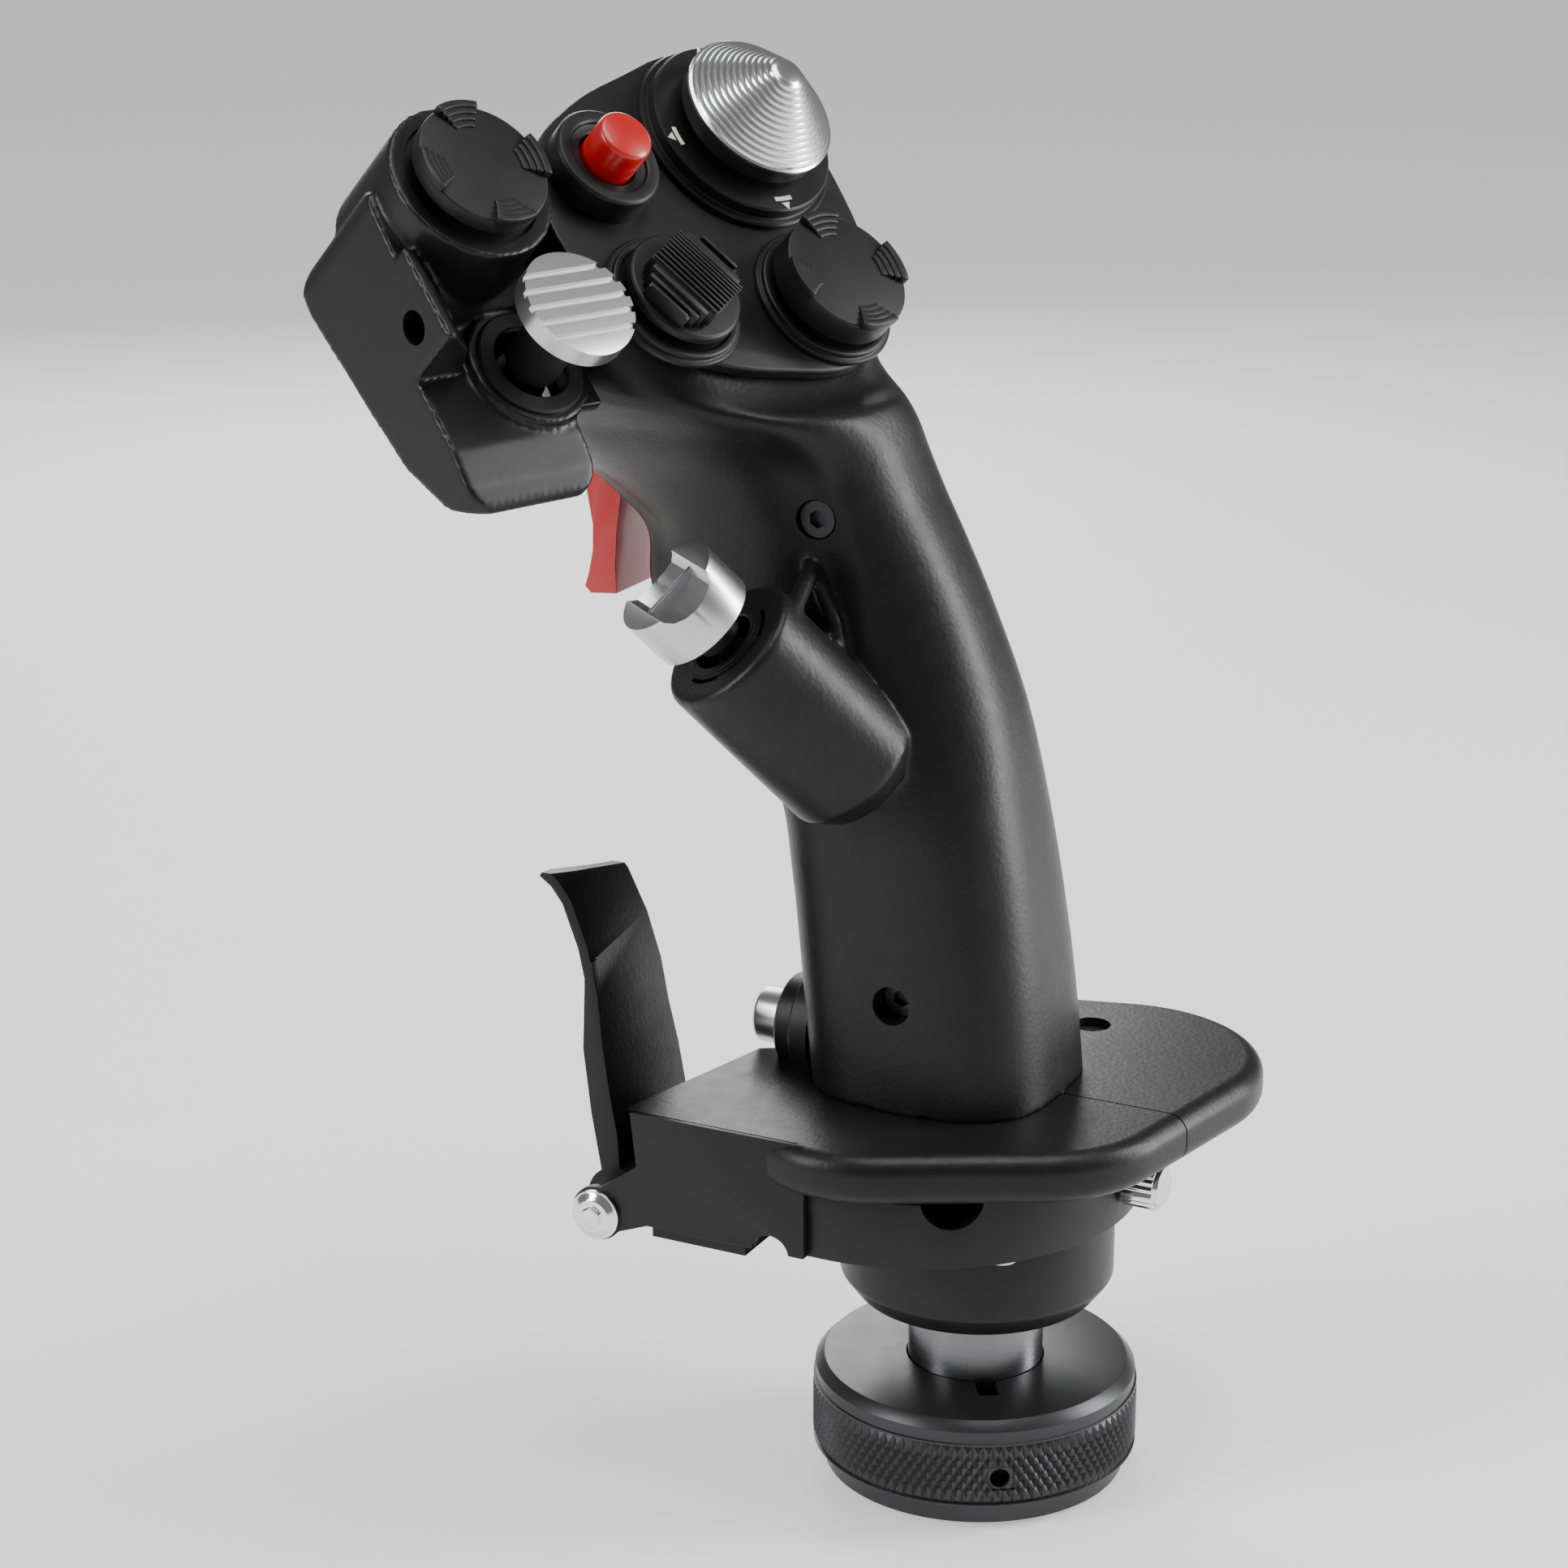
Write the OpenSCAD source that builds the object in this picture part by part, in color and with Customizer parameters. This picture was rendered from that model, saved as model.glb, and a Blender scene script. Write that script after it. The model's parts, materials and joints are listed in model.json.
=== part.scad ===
// Flight joystick grip with a threaded lock ring, palm rest, paddle, trigger and six hats.
// Frame: +Z up along the connector axis, +Y away from the pilot, +X to the pilot's right.
// The origin is the centre of the lock ring's lower face, where the thread starts.

/* [Lock ring and connector] */
// Outside diameter of the lock ring
ring_d = 50; // [48:1:54]
// Height of the lock ring
ring_h = 17; // [15:0.5:19]
// Clear diameter of the ring's thread
thread_d = 34; // [33:0.5:36]
// Depth of the ring's thread
thread_h = 12; // [10:0.5:12.5]
// Diameter of the connector shaft
shaft_d = 20.7; // [18:0.1:21]
// Diameter of the retaining flange on the shaft
shaft_flange_d = 32.6; // [30:0.1:32.8]

/* [Neck and base] */
// Diameter of the neck
neck_d = 41.8; // [38:0.2:44]
// Height where the neck starts
neck_z = 28.4; // [27:0.2:30]
// Height where the base housing starts
base_z = 44.4; // [43:0.2:46]
// Radius of the rounded rear of the base housing
base_r = 34; // [32:0.5:35]
// Distance from the connector axis to the middle of the housing's rear arc
base_arc_y = 10; // [8:0.5:12]
// Thickness of the housing and shell walls
wall = 2.4; // [2:0.1:2.8]

/* [Palm rest] */
// Height of the palm rest's top face
rest_z = 62.2; // [61:0.2:64]
// Thickness of the palm rest
rest_t = 7.7; // [6.5:0.1:8]
// Rounding of the palm rest's rim
rest_round = 1.8; // [1:0.1:2.2]

/* [Paddle] */
// Width of the paddle lever
paddle_w = 22; // [20:0.5:24]
// Thickness of the paddle's sheet
paddle_t = 1.6; // [1.2:0.1:2]
// Diameter of the paddle's axle
axle_d = 4; // [3:0.1:4.5]

/* [Head] */
// Tilt of the face from level
head_tilt = 47.5; // [46:0.5:49]
// Turn of the face towards the pilot's left
head_twist = 20; // [18:0.5:22]
// Thickness of the face plate
face_t = 2.2; // [2:0.1:2.6]

/* [Trigger] */
// Width of the trigger
trigger_w = 11; // [9:0.5:12]
// Diameter of the trigger's pin
trigger_pin_d = 3; // [2.5:0.1:3.5]

/* [Hats] */
// Radius of a castle hat
castle_r = 9.9; // [9:0.1:10.2]
// Radius of the trim hat's cone
cone_r = 11.8; // [11:0.1:12]
// Radius of the ribbed disc hat
disc_r = 8.4; // [8:0.1:9]
// Radius of the notched side hat
side_r = 7.9; // [7.5:0.1:8.2]

/* [Hidden] */
$fn = 64;
black = [0.07, 0.07, 0.075];
smooth_black = [0.12, 0.12, 0.125];
silver = [0.75, 0.75, 0.76];
steel = [0.55, 0.55, 0.57];
red = [0.75, 0.03, 0.05];
board = [0.05, 0.25, 0.12];
gold = [0.8, 0.65, 0.3];
eps = 0.01;

// Clearance of a shaft in its hole, and of a hinge pin
fit = 0.05;

// Centre of the trim hat on the face, the origin of the head's own frame
HEAD = [7, 45.1, 198.7];

// Grip stations from the palm rest to the face:
// [x, y, z, tilt, twist, half depth, half width left, half width right, left power, right power,
// share of the face's outline]
STATIONS = [
    [0, 5.2, rest_z, 0, 0, 18.8, 18.6, 18.6, 3.0, 3.0, 0],
    [0, 6.9, 78, 1, 0, 19.1, 18.2, 18.2, 2.9, 2.9, 0],
    [0, 9.0, 93.5, 2, 0, 19.0, 17.8, 17.8, 2.8, 2.8, 0],
    [0, 11.6, 106.5, 2, 0, 19.2, 17.5, 17.5, 2.7, 2.7, 0],
    [0, 17.5, 118, -5, 0, 22.0, 17.2, 17.2, 2.5, 2.6, 0],
    [0, 24.3, 129, -10, 0, 24.0, 17.0, 17.0, 2.4, 2.6, 0],
    [-0.5, 28.9, 139, -11, 0, 24.0, 17.0, 17.2, 2.4, 2.6, 0],
    [-1, 31.2, 147.5, -11, 2, 22.2, 17.4, 17.6, 2.3, 2.6, 0],
    [-1.8, 36, 154, -12, 6, 24.0, 18.8, 18.6, 2.2, 2.6, 0.05],
    [-3.6, 43.4, 162, -4, 12, 28.3, 23.5, 20.6, 2.1, 2.9, 0.25],
    [-6.0, 47, 176, 22, 18, 28.4, 26.4, 25.0, 2.0, 3.2, 0.65],
    [-7.33, 43.77, 188.73, 47.5, 20, 28.4, 28.6, 28.4, 2.0, 3.4, 1]
];
// Middle of the face outline in the head's frame, and its radius at every 30 degrees
FACE_C = [-13, -11.5];
FACE_R = [28.4, 30.9, 31.2, 25.1, 24.3, 26.8, 27, 26.8, 26.6, 27.1, 31.3, 29];
// Points across a half section and steps between stations
half_n = 14;
loft_steps = 2;

// Height and place of the pod's neck, which carries it on the head's left wall
POD_NECK = [-13.5, -14];

// Places of the controls in the head's frame
RIGHT_HAT = [-0.2, -28.4];
RIBBED_HAT = [-27, -25];
RED_BUTTON = [-28, -2.8];
LEFT_HAT = [-52.4, -3.3];
DISC_HAT = [-47.8, -25.8];
pod_top_h = 3.5;
pod_deck_h = -9;
// Top of the side hat's housing and the direction of its axis
SIDE_HAT = [-30.9, 26.6, 134.3];
side_tilt = 43.9;
side_turn = 140.3;

// Paddle axle, trigger pin and front button
AXLE = [46.4, 44.8];
paddle_x = -18.3;
TRIGGER_PIN = [61, 158.5];
front_button_z = 66.4;

// Lock ring travel and the parts that it clears
washer_t = 1;
web_z = thread_h + washer_t;
flange_z = thread_h - 2.4;
thread_end_z = flange_z - 0.6;

// ---------- shared shapes ----------

module tube(r_out, r_in, h) {
    difference() {
        cylinder(r = r_out, h = h);
        translate([0, 0, -1]) cylinder(r = r_in, h = h + 2);
    }
}

module in_head(p = [0, 0], h = 0) {
    translate(HEAD) rotate([head_tilt, 0, -head_twist]) translate([p[0], p[1], h]) children();
}

module in_side(h = 0) {
    translate(SIDE_HAT) rotate([0, side_tilt, side_turn]) translate([0, 0, h]) children();
}

function along(tilt, twist) = [sin(twist) * cos(tilt), cos(twist) * cos(tilt), sin(tilt)];
function across(twist) = [cos(twist), -sin(twist), 0];
function power(x, p) = sign(x) * pow(abs(x), 2 / p);
function spline(a, b, c, d, t) =
    0.5 * (2 * b + (c - a) * t + (2 * a - 5 * b + 4 * c - d) * t * t
        + (3 * b - a - 3 * c + d) * t * t * t);
last_station = len(STATIONS) - 1;
function station_at(s) =
    let (k = min(floor(s), last_station - 1), t = s - k)
    spline(STATIONS[max(k - 1, 0)], STATIONS[k], STATIONS[k + 1],
        STATIONS[min(k + 2, last_station)], t);
function face_r(q) =
    let (n = len(FACE_R), k = (q < 0 ? q + 360 : q) * n / 360, i = floor(k))
    spline(FACE_R[(i + n - 1) % n], FACE_R[i % n], FACE_R[(i + 1) % n], FACE_R[(i + 2) % n], k - i);
function section_point(st, q, inset) =
    let (
        left = cos(q) < 0,
        half = (left ? st[6] : st[7]) - inset,
        p = left ? st[8] : st[9],
        w = st[10],
        r = face_r(q) - inset
    )
    [st[0], st[1], st[2]]
        + ((1 - w) * half * power(cos(q), p) + w * r * cos(q)) * across(st[4])
        + ((1 - w) * (st[5] - inset) * power(sin(q), p) + w * r * sin(q)) * along(st[3], st[4]);
function half_ring(st, q0, inset_out, inset_in) = concat(
    [for (i = [0 : half_n]) section_point(st, q0 + 180 * i / half_n, inset_out)],
    [for (i = [half_n : -1 : 0]) section_point(st, q0 + 180 * i / half_n, inset_in)]
);

// A closed skin over rings of m points each, listed one ring after another. Each end is closed
// by a strip of triangles between the ring's first half and its second half.
module skin(points, m) {
    rings = len(points) / m;
    sides = [
        for (j = [0 : rings - 2], i = [0 : m - 1])
            let (a = j * m + i, b = j * m + (i + 1) % m)
            each [[a, a + m, b + m], [a, b + m, b]]
    ];
    start = [
        for (i = [0 : m / 2 - 2]) each [[i, i + 1, m - 2 - i], [i, m - 2 - i, m - 1 - i]]
    ];
    end = [for (f = start) [for (k = [2 : -1 : 0]) f[k] + (rings - 1) * m]];
    polyhedron(
        points = points,
        faces = concat([for (f = start) if (f[1] != f[2]) f], sides, [for (f = end) if (f[0] != f[1]) f]),
        convexity = 6
    );
}

// One half of the hollow grip, from the palm rest to the face plate
module grip_half(q0) {
    steps = last_station * loft_steps;
    points = [
        for (j = [0 : steps]) each half_ring(station_at(j / loft_steps), q0, 0, wall)
    ];
    skin(points, 2 * half_n + 2);
}

// Outline of the face, in the head's frame
module face_outline(inset) {
    polygon([
        for (q = [0 : 6 : 354])
            let (r = face_r(q) - inset) [FACE_C[0] + r * cos(q), FACE_C[1] + r * sin(q)]
    ]);
}

// A coil of round wire about the z axis
module coil(r, wire_r, pitch, turns) {
    per_turn = 14;
    sides = 6;
    points = [
        for (j = [0 : per_turn * turns], i = [0 : sides - 1])
            let (a = 360 * j / per_turn, q = -360 * i / sides)
            [(r + wire_r * cos(q)) * cos(a), (r + wire_r * cos(q)) * sin(a),
             pitch * j / per_turn + wire_r * sin(q)]
    ];
    skin(points, sides);
}

// ---------- connector and lock ring ----------

module connector_shaft() color(steel) {
    difference() {
        union() {
            translate([0, 0, flange_z]) cylinder(d = shaft_d, h = neck_z + 3.2);
            translate([0, 0, flange_z]) cylinder(d = shaft_flange_d, h = 2.3);
        }
        // Locating notch that stops the grip turning in its base
        translate([-20, -1.5, flange_z - 1]) cube([6.4, 3, 5]);
        translate([0, 0, -10]) cylinder(d = 14.6, h = 60);
    }
}

module connector_socket() color(black) {
    difference() {
        translate([0, 0, flange_z + 0.4]) cylinder(d = 14.5, h = 8);
        for (i = [0 : 4])
            rotate([0, 0, 72 * i]) translate([4.2, 0, flange_z - 1]) cylinder(d = 1.5, h = 12);
    }
}

module contact_pins() color(gold) {
    for (i = [0 : 4])
        rotate([0, 0, 72 * i]) translate([4.2, 0, flange_z + 1]) cylinder(d = 1.4, h = 9);
}

module lock_ring() color(black) {
    knurl_in = 0.4;
    difference() {
        rotate_extrude()
            polygon([
                [0, 0], [ring_d / 2 - 1.9, 0], [ring_d / 2 - 1.9, 2.6], [ring_d / 2 - 0.1, 3.4],
                [ring_d / 2, 3.6], [ring_d / 2, ring_h - 3.6], [ring_d / 2 - knurl_in, ring_h - 3.4],
                [ring_d / 2 - knurl_in, ring_h - 1.2], [ring_d / 2 - 1.6, ring_h], [0, ring_h]
            ]);
        translate([0, 0, -1]) cylinder(d = thread_d, h = web_z + 1);
        // Thread relief round the shaft's flange
        translate([0, 0, thread_end_z]) cylinder(d = thread_d + 1.2, h = web_z - thread_end_z);
        translate([0, 0, -1]) cylinder(d = shaft_d + 0.3, h = ring_h + 2);
        // Spanner hole in the side and the bayonet slot in the top face
        rotate([0, 0, 213]) translate([ring_d / 2 - 4, 0, 8]) rotate([0, 90, 0]) cylinder(d = 3, h = 6);
        rotate([0, 0, 212]) translate([9, -1.6, web_z - 1]) cube([6.2, 3.2, 8]);
    }
}

module ring_washer() color(steel) {
    translate([0, 0, web_z - washer_t + 0.02])
        tube(thread_d / 2 - 0.4, shaft_d / 2 + fit, washer_t - 0.07);
}

// ---------- neck and base ----------

module neck_collar() color(black) {
    difference() {
        rotate_extrude()
            polygon([
                [0, neck_z], [neck_d / 2 - 2.6, neck_z], [neck_d / 2, neck_z + 3.4],
                [neck_d / 2, base_z], [0, base_z]
            ]);
        cylinder(d = shaft_d, h = 80);
    }
}

// Places of the screws under the housing and through the palm rest
HOUSING_SCREWS = [[-24, 4], [24, 4], [19.5, -12.5], [-19.5, -12.5]];
REST_SCREWS = [[28.1, -6.6], [28, 18]];

// Plan of the base housing: a rounded rear, a long left bracket and a short right side
module base_plan(inset) {
    difference() {
        translate([0, base_arc_y]) circle(r = base_r - inset);
        translate([-50, base_arc_y + eps]) square([100, 60]);
    }
    translate([-base_r + inset, base_arc_y]) square([base_r - 5.5 - 2 * inset, 28.5 - inset]);
    translate([-10, base_arc_y]) square([base_r + 10 - inset, 17 - inset]);
}

module base_housing() color(black) {
    top = rest_z - rest_t - 0.05;
    difference() {
        translate([0, 0, base_z]) linear_extrude(top - base_z) base_plan(0);
        difference() {
            translate([0, 0, base_z + wall]) linear_extrude(20) base_plan(wall);
            for (p = REST_SCREWS) translate([p[0], p[1], base_z]) cylinder(d = 7, h = 20);
        }
        for (p = REST_SCREWS) translate([p[0], p[1], base_z + 4]) cylinder(d = 3, h = 20);
        // Access hole in the rounded side
        translate([0, base_arc_y, base_z + 10.8]) rotate([0, 90, 213]) cylinder(d = 9.4, h = 40);
        // Bore for the connector shaft and for the knob at the rear
        translate([0, 0, 20]) cylinder(d = shaft_d + 0.2, h = 60);
        translate([0, -40, base_z + 6]) rotate([-90, 0, 0]) cylinder(d = 3.2, h = 30);
        // Screws come in from below
        for (p = HOUSING_SCREWS) translate([p[0], p[1], base_z - 1]) cylinder(d = 3.1, h = 6);
        // Arched relief in the bracket's lower edge
        translate([-40, 17.5, base_z]) rotate([0, 90, 0]) cylinder(d = 6, h = 12);
    }
}

module housing_screws() color(steel) {
    for (p = HOUSING_SCREWS) translate([p[0], p[1], base_z]) {
        translate([0, 0, -1.4]) cylinder(d = 4.2, h = 1.4);
        cylinder(d = 3, h = 9);
    }
}

module ear_outline() {
    difference() {
        union() {
            polygon([
                [12, base_z], [37.9, base_z], [43.6, 42.2], [47.6, 41.7], [50, 46], [46.5, 48.5],
                [39.6, 53.6], [40.6, rest_z - 0.1], [12, rest_z - 0.1]
            ]);
            translate(AXLE) circle(r = 4.2);
        }
        translate([17.5, base_z - 0.4]) circle(r = 3);
        translate(AXLE) circle(d = axle_d);
    }
}

module in_ears(x) {
    translate([x, 0, 0]) rotate([90, 0, 90]) children();
}

module outer_ear_plate() color(smooth_black) {
    in_ears(-35.4) linear_extrude(1.35) ear_outline();
}

module inner_ear_plate() color(smooth_black) {
    in_ears(-5) linear_extrude(1.4)
        difference() {
            union() {
                polygon([
                    [28, base_z], [37.9, base_z], [43.6, 42.2], [47.6, 41.7], [50, 46], [46.5, 48.5],
                    [39.6, 53.6], [28, 53.6]
                ]);
                translate(AXLE) circle(r = 4.2);
            }
            translate(AXLE) circle(d = axle_d);
        }
}

module paddle_axle() color(steel) {
    in_ears(-35.4) translate([AXLE[0], AXLE[1], 0]) cylinder(d = axle_d, h = 31.8);
}

module axle_caps() color(silver) {
    for (x = [-35.4, -3.6])
        translate([x, AXLE[0], AXLE[1]])
            rotate([0, x < -20 ? -90 : 90, 0]) {
                cylinder(r = 3.9, h = 0.7);
                translate([0, 0, 0.7]) cylinder(r1 = 3.6, r2 = 2.6, h = 0.8);
                translate([0, 0, 1.5]) cylinder(r = 1.7, h = 0.7, $fn = 6);
            }
}

// Side view of the paddle's middle line: y and z as a smooth arc with a flared tip
PADDLE_LINE = [
    [46.4, 46], [47.0, 55], [48.2, 61.4], [49.3, 69], [50.0, 76.6], [51.6, 84], [54.2, 90.8],
    [56.2, 93.4], [58.3, 94.9]
];
function paddle_side(sign) = [
    for (i = [0 : len(PADDLE_LINE) - 1])
        let (
            a = PADDLE_LINE[max(i - 1, 0)],
            b = PADDLE_LINE[min(i + 1, len(PADDLE_LINE) - 1)],
            d = (b - a) / norm(b - a)
        )
        PADDLE_LINE[i] + sign * paddle_t / 2 * [-d[1], d[0]]
];
function reversed(list) = [for (i = [len(list) - 1 : -1 : 0]) list[i]];

module paddle_lever() color(black) {
    x0 = paddle_x - paddle_w / 2;
    difference() {
        union() {
            in_ears(x0) linear_extrude(paddle_w)
                polygon(concat(paddle_side(1), reversed(paddle_side(-1))));
            in_ears(x0) translate([AXLE[0], AXLE[1], 0]) cylinder(r = 4.9, h = paddle_w);
            // Stiffening flange along the outer edge
            in_ears(x0) linear_extrude(1.6)
                polygon([
                    [45.9, 48], [48.8, 48], [50.6, 58], [51.8, 68], [51.4, 78], [51.4, 82],
                    [50, 82], [49.0, 69], [47, 58]
                ]);
            // Foot that works the switch
            translate([x0 + 6, AXLE[0] - 6.4, AXLE[1] - 1.2]) cube([8, 4, 2.2]);
        }
        in_ears(x0 - 1) translate([AXLE[0], AXLE[1], 0]) cylinder(d = axle_d + 2 * fit, h = 60);
        // The top edge slopes down to the inner side, and the inner edge leans outwards
        translate([x0 - 2, 40, 95.2]) rotate([0, 10, 0]) cube([42, 30, 12]);
        translate([x0 + paddle_w, 40, 62]) rotate([0, -9, 0]) cube([12, 30, 50]);
    }
}

module paddle_spring() color(steel) {
    translate([-6.7, AXLE[0], AXLE[1]]) rotate([0, 90, 0]) coil(2.8, 0.25, 0.55, 2);
}

module paddle_switch_cover() color(smooth_black) {
    difference() {
        translate([-31.5, 23.5, base_z - 3.4]) cube([26, 15.6, 3.4]);
        translate([-30, 25, base_z - 2.2]) cube([23, 12.6, 4]);
    }
}

// ---------- palm rest ----------

module rest_outline(inset) {
    hull() {
        translate([-17.5, 9]) circle(r = 20 - inset, $fn = 48);
        translate([-5, -10]) circle(r = 22 - inset, $fn = 48);
        translate([19.8, -14]) circle(r = 22.6 - inset, $fn = 48);
        translate([18, 10]) circle(r = 18 - inset, $fn = 48);
    }
}

module rest_front() {
    polygon([[-33.8, 9], [-33.8, 40.9], [-4.6, 34.4], [-2, 29.8], [20, 27.5], [20, 9]]);
}

module palm_rest() {
    z0 = rest_z - rest_t;
    difference() {
        union() {
            translate([0, 0, z0]) linear_extrude(rest_t) rest_outline(rest_round);
            translate([0, 0, z0 + rest_round])
                linear_extrude(rest_t - 2 * rest_round) rest_outline(0);
            translate([0, 0, z0]) linear_extrude(rest_t) rest_front();
        }
        translate([0, 0, z0 - 1]) cylinder(d = 22.4, h = 20);
        for (p = REST_SCREWS) translate([p[0], p[1], z0 - 1]) {
            cylinder(d = 3.2, h = 20);
            translate([0, 0, 4.6]) cylinder(d = 6, h = 20);
        }
        // Room for the front button's collar, the ear plate and the knob
        translate([0, 10, front_button_z]) rotate([-90, 0, 0]) {
            cylinder(r = 8.9, h = 21.8);
            cylinder(r = 4.6, h = 30);
        }
        translate([-36, 11.9, z0 - 1]) cube([2.2, 40, 20]);
    }
}

module palm_rest_left() color(black) {
    intersection() {
        palm_rest();
        translate([-60, -60, 40]) cube([60, 120, 40]);
    }
}

module palm_rest_right() color(black) {
    intersection() {
        palm_rest();
        translate([0, -60, 40]) cube([60, 120, 40]);
    }
}

module palm_rest_screws() color(steel) {
    for (p = REST_SCREWS) translate([p[0], p[1], rest_z - rest_t]) {
        translate([0, 0, -5]) cylinder(d = 3, h = 9);
        translate([0, 0, 3.7]) difference() {
            cylinder(d = 5.6, h = 2.6);
            translate([0, 0, 1]) cylinder(d = 3, h = 2, $fn = 6);
        }
    }
}

module thumb_knob() color(silver) {
    translate([0, 0, base_z + 6]) rotate([90, 0, 0]) {
        translate([0, 0, 24.4]) cylinder(d = 7.6, h = 5);
        translate([0, 0, 29.4 - eps]) cylinder(r1 = 3.8, r2 = 3.2, h = 0.8);
        translate([0, 0, 15]) cylinder(d = 3, h = 9.4);
    }
}

// ---------- grip ----------

// Places of the shell screws: y, z on the left face
SHELL_SCREWS = [[6.4, 78.8], [20.4, 149.3]];

module shell_screw_holes() {
    for (p = SHELL_SCREWS) translate([0, p[0], p[1]]) {
        rotate([0, -90, 0]) cylinder(d = 3.1, h = 30);
        translate([-12, 0, 0]) rotate([0, -90, 0]) cylinder(d = 5.9, h = 20);
    }
}

module trigger_slot() {
    translate([-trigger_w / 2 - 0.5, 53.8, 140]) cube([trigger_w + 1, 13.4, 24]);
}

module front_button_seat() {
    translate([0, 10, front_button_z]) rotate([-90, 0, 0]) cylinder(r = 6.1, h = 30);
    translate([0, 25.1, front_button_z]) rotate([-90, 0, 0]) cylinder(r = 8.5, h = 20);
}

module grip_left_shell() color(black) {
    difference() {
        union() {
            grip_half(90);
            // Screw posts
            for (p = SHELL_SCREWS) translate([-10, p[0], p[1]]) rotate([0, -90, 0]) cylinder(d = 8.6, h = 6.4);
        }
        shell_screw_holes();
        trigger_slot();
        front_button_seat();
        in_side(-32.2) cylinder(r = 10.86, h = 60);
        in_head([0, POD_NECK[1]], POD_NECK[0]) rotate([0, -90, 0]) cylinder(r = 5.6, h = 60);
    }
}

module grip_right_shell() color(black) {
    difference() {
        union() {
            grip_half(-90);
            for (p = SHELL_SCREWS) translate([9.8, p[0], p[1]]) rotate([0, 90, 0]) cylinder(d = 7, h = 6.6);
        }
        for (p = SHELL_SCREWS) translate([8, p[0], p[1]]) rotate([0, 90, 0]) cylinder(d = 2.6, h = 7);
        trigger_slot();
        front_button_seat();
    }
}

module grip_screws() color(steel) {
    for (p = SHELL_SCREWS) translate([-12, p[0], p[1]]) {
        rotate([0, -90, 0]) difference() {
            cylinder(d = 5.4, h = 2.4);
            translate([0, 0, 1.2]) cylinder(d = 2.8, h = 3, $fn = 6);
        }
        rotate([0, 90, 0]) cylinder(d = 2.5, h = 24);
    }
}

module grip_spine() color(steel) {
    // Tube that carries the grip's load down to the connector shaft
    translate([0, 0, neck_z + 13]) tube(shaft_d / 2 - 0.1, 7.6, 29);
    translate([0, 0, neck_z + 41]) difference() {
        translate([-10.5, -7.5, 0]) cube([21, 22, 3]);
        translate([0, 0, -1]) cylinder(r = 6, h = 6);
    }
}

module main_board() color(board) {
    translate([-1, 0, 84]) rotate([-9, 0, 0]) cube([1.6, 18, 23]);
}

// ---------- head ----------

module face_plate() color(smooth_black) {
    in_head() difference() {
        translate([0, 0, -face_t]) linear_extrude(face_t) face_outline(0);
        for (p = [[0, 0], RIGHT_HAT, RIBBED_HAT])
            translate([p[0], p[1], -5]) cylinder(r = 4.6, h = 10);
        translate([RED_BUTTON[0], RED_BUTTON[1], -5]) cylinder(r = 4.6, h = 10);
    }
}

module head_board() color(board) {
    in_head([FACE_C[0] + 1, FACE_C[1] - 3], -15.6) cylinder(r = 16.5, h = 1.6);
}

// One five-way switch block under a hat, at the hat's surface
module hat_switch(depth) {
    difference() {
        translate([-5.5, -5.5, -depth - 4.6]) cube([11, 11, 4.6]);
        translate([0, 0, -depth - 2]) cylinder(r = 3, h = 5);
    }
}
hat_switch_depth = 8.2;

module hat_switches() color(black) {
    for (p = [[0, 0], RIGHT_HAT, RIBBED_HAT]) in_head(p) hat_switch(hat_switch_depth);
    in_head(LEFT_HAT, pod_top_h) hat_switch(hat_switch_depth);
    in_head(DISC_HAT, pod_deck_h) hat_switch(hat_switch_depth - 1.4);
    in_side(0) hat_switch(hat_switch_depth);
}

module micro_switches() color(black) {
    // Under the red button, behind the trigger, behind the front button and under the paddle
    in_head(RED_BUTTON, -11) translate([-2.5, -2.5, 0]) cube([5, 5, 3.2]);
    translate([-3, 46.5, 148.6]) cube([6, 4, 8]);
    translate([-3, 12.2, front_button_z - 3]) cube([6, 5, 6]);
    translate([-25, 24, base_z + wall + 0.2]) cube([10, 10, 3.6]);
}

// Gimbal ring and stem of a hat, about a pivot below the surface
pivot_h = -3.4;
gimbal_r = 3.9;
stem_r = 1.9;

module gimbal() color(steel) {
    translate([0, 0, pivot_h - 0.7]) tube(gimbal_r, stem_r + 0.5, 1.4);
}

module stem(top) {
    translate([0, 0, -7.2]) cylinder(r = stem_r, h = top + 7.2);
}

// Round cap with four raised thumb tabs, its lower face at h0 and its top at h1
module castle_cap(h0, h1) {
    translate([0, 0, h0]) cylinder(r = castle_r - 0.3, h = h1 - h0 - 0.4);
    for (a = [0, 90, 180, 270]) rotate([0, 0, a]) intersection() {
        translate([0, 0, h0]) tube(castle_r + 0.3, castle_r - 3.1, h1 - h0 + 0.5);
        translate([5, -3.4, h0]) cube([8, 6.8, 20]);
    }
    stem(h0 + 0.5);
}

// Stepped bezel ring that stands on the surface
module hat_bezel(r, h) {
    tube(r, gimbal_r + 0.9, h * 0.5);
    translate([0, 0, h * 0.5]) tube(r - 0.8, gimbal_r + 0.9, h * 0.5);
}

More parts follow.
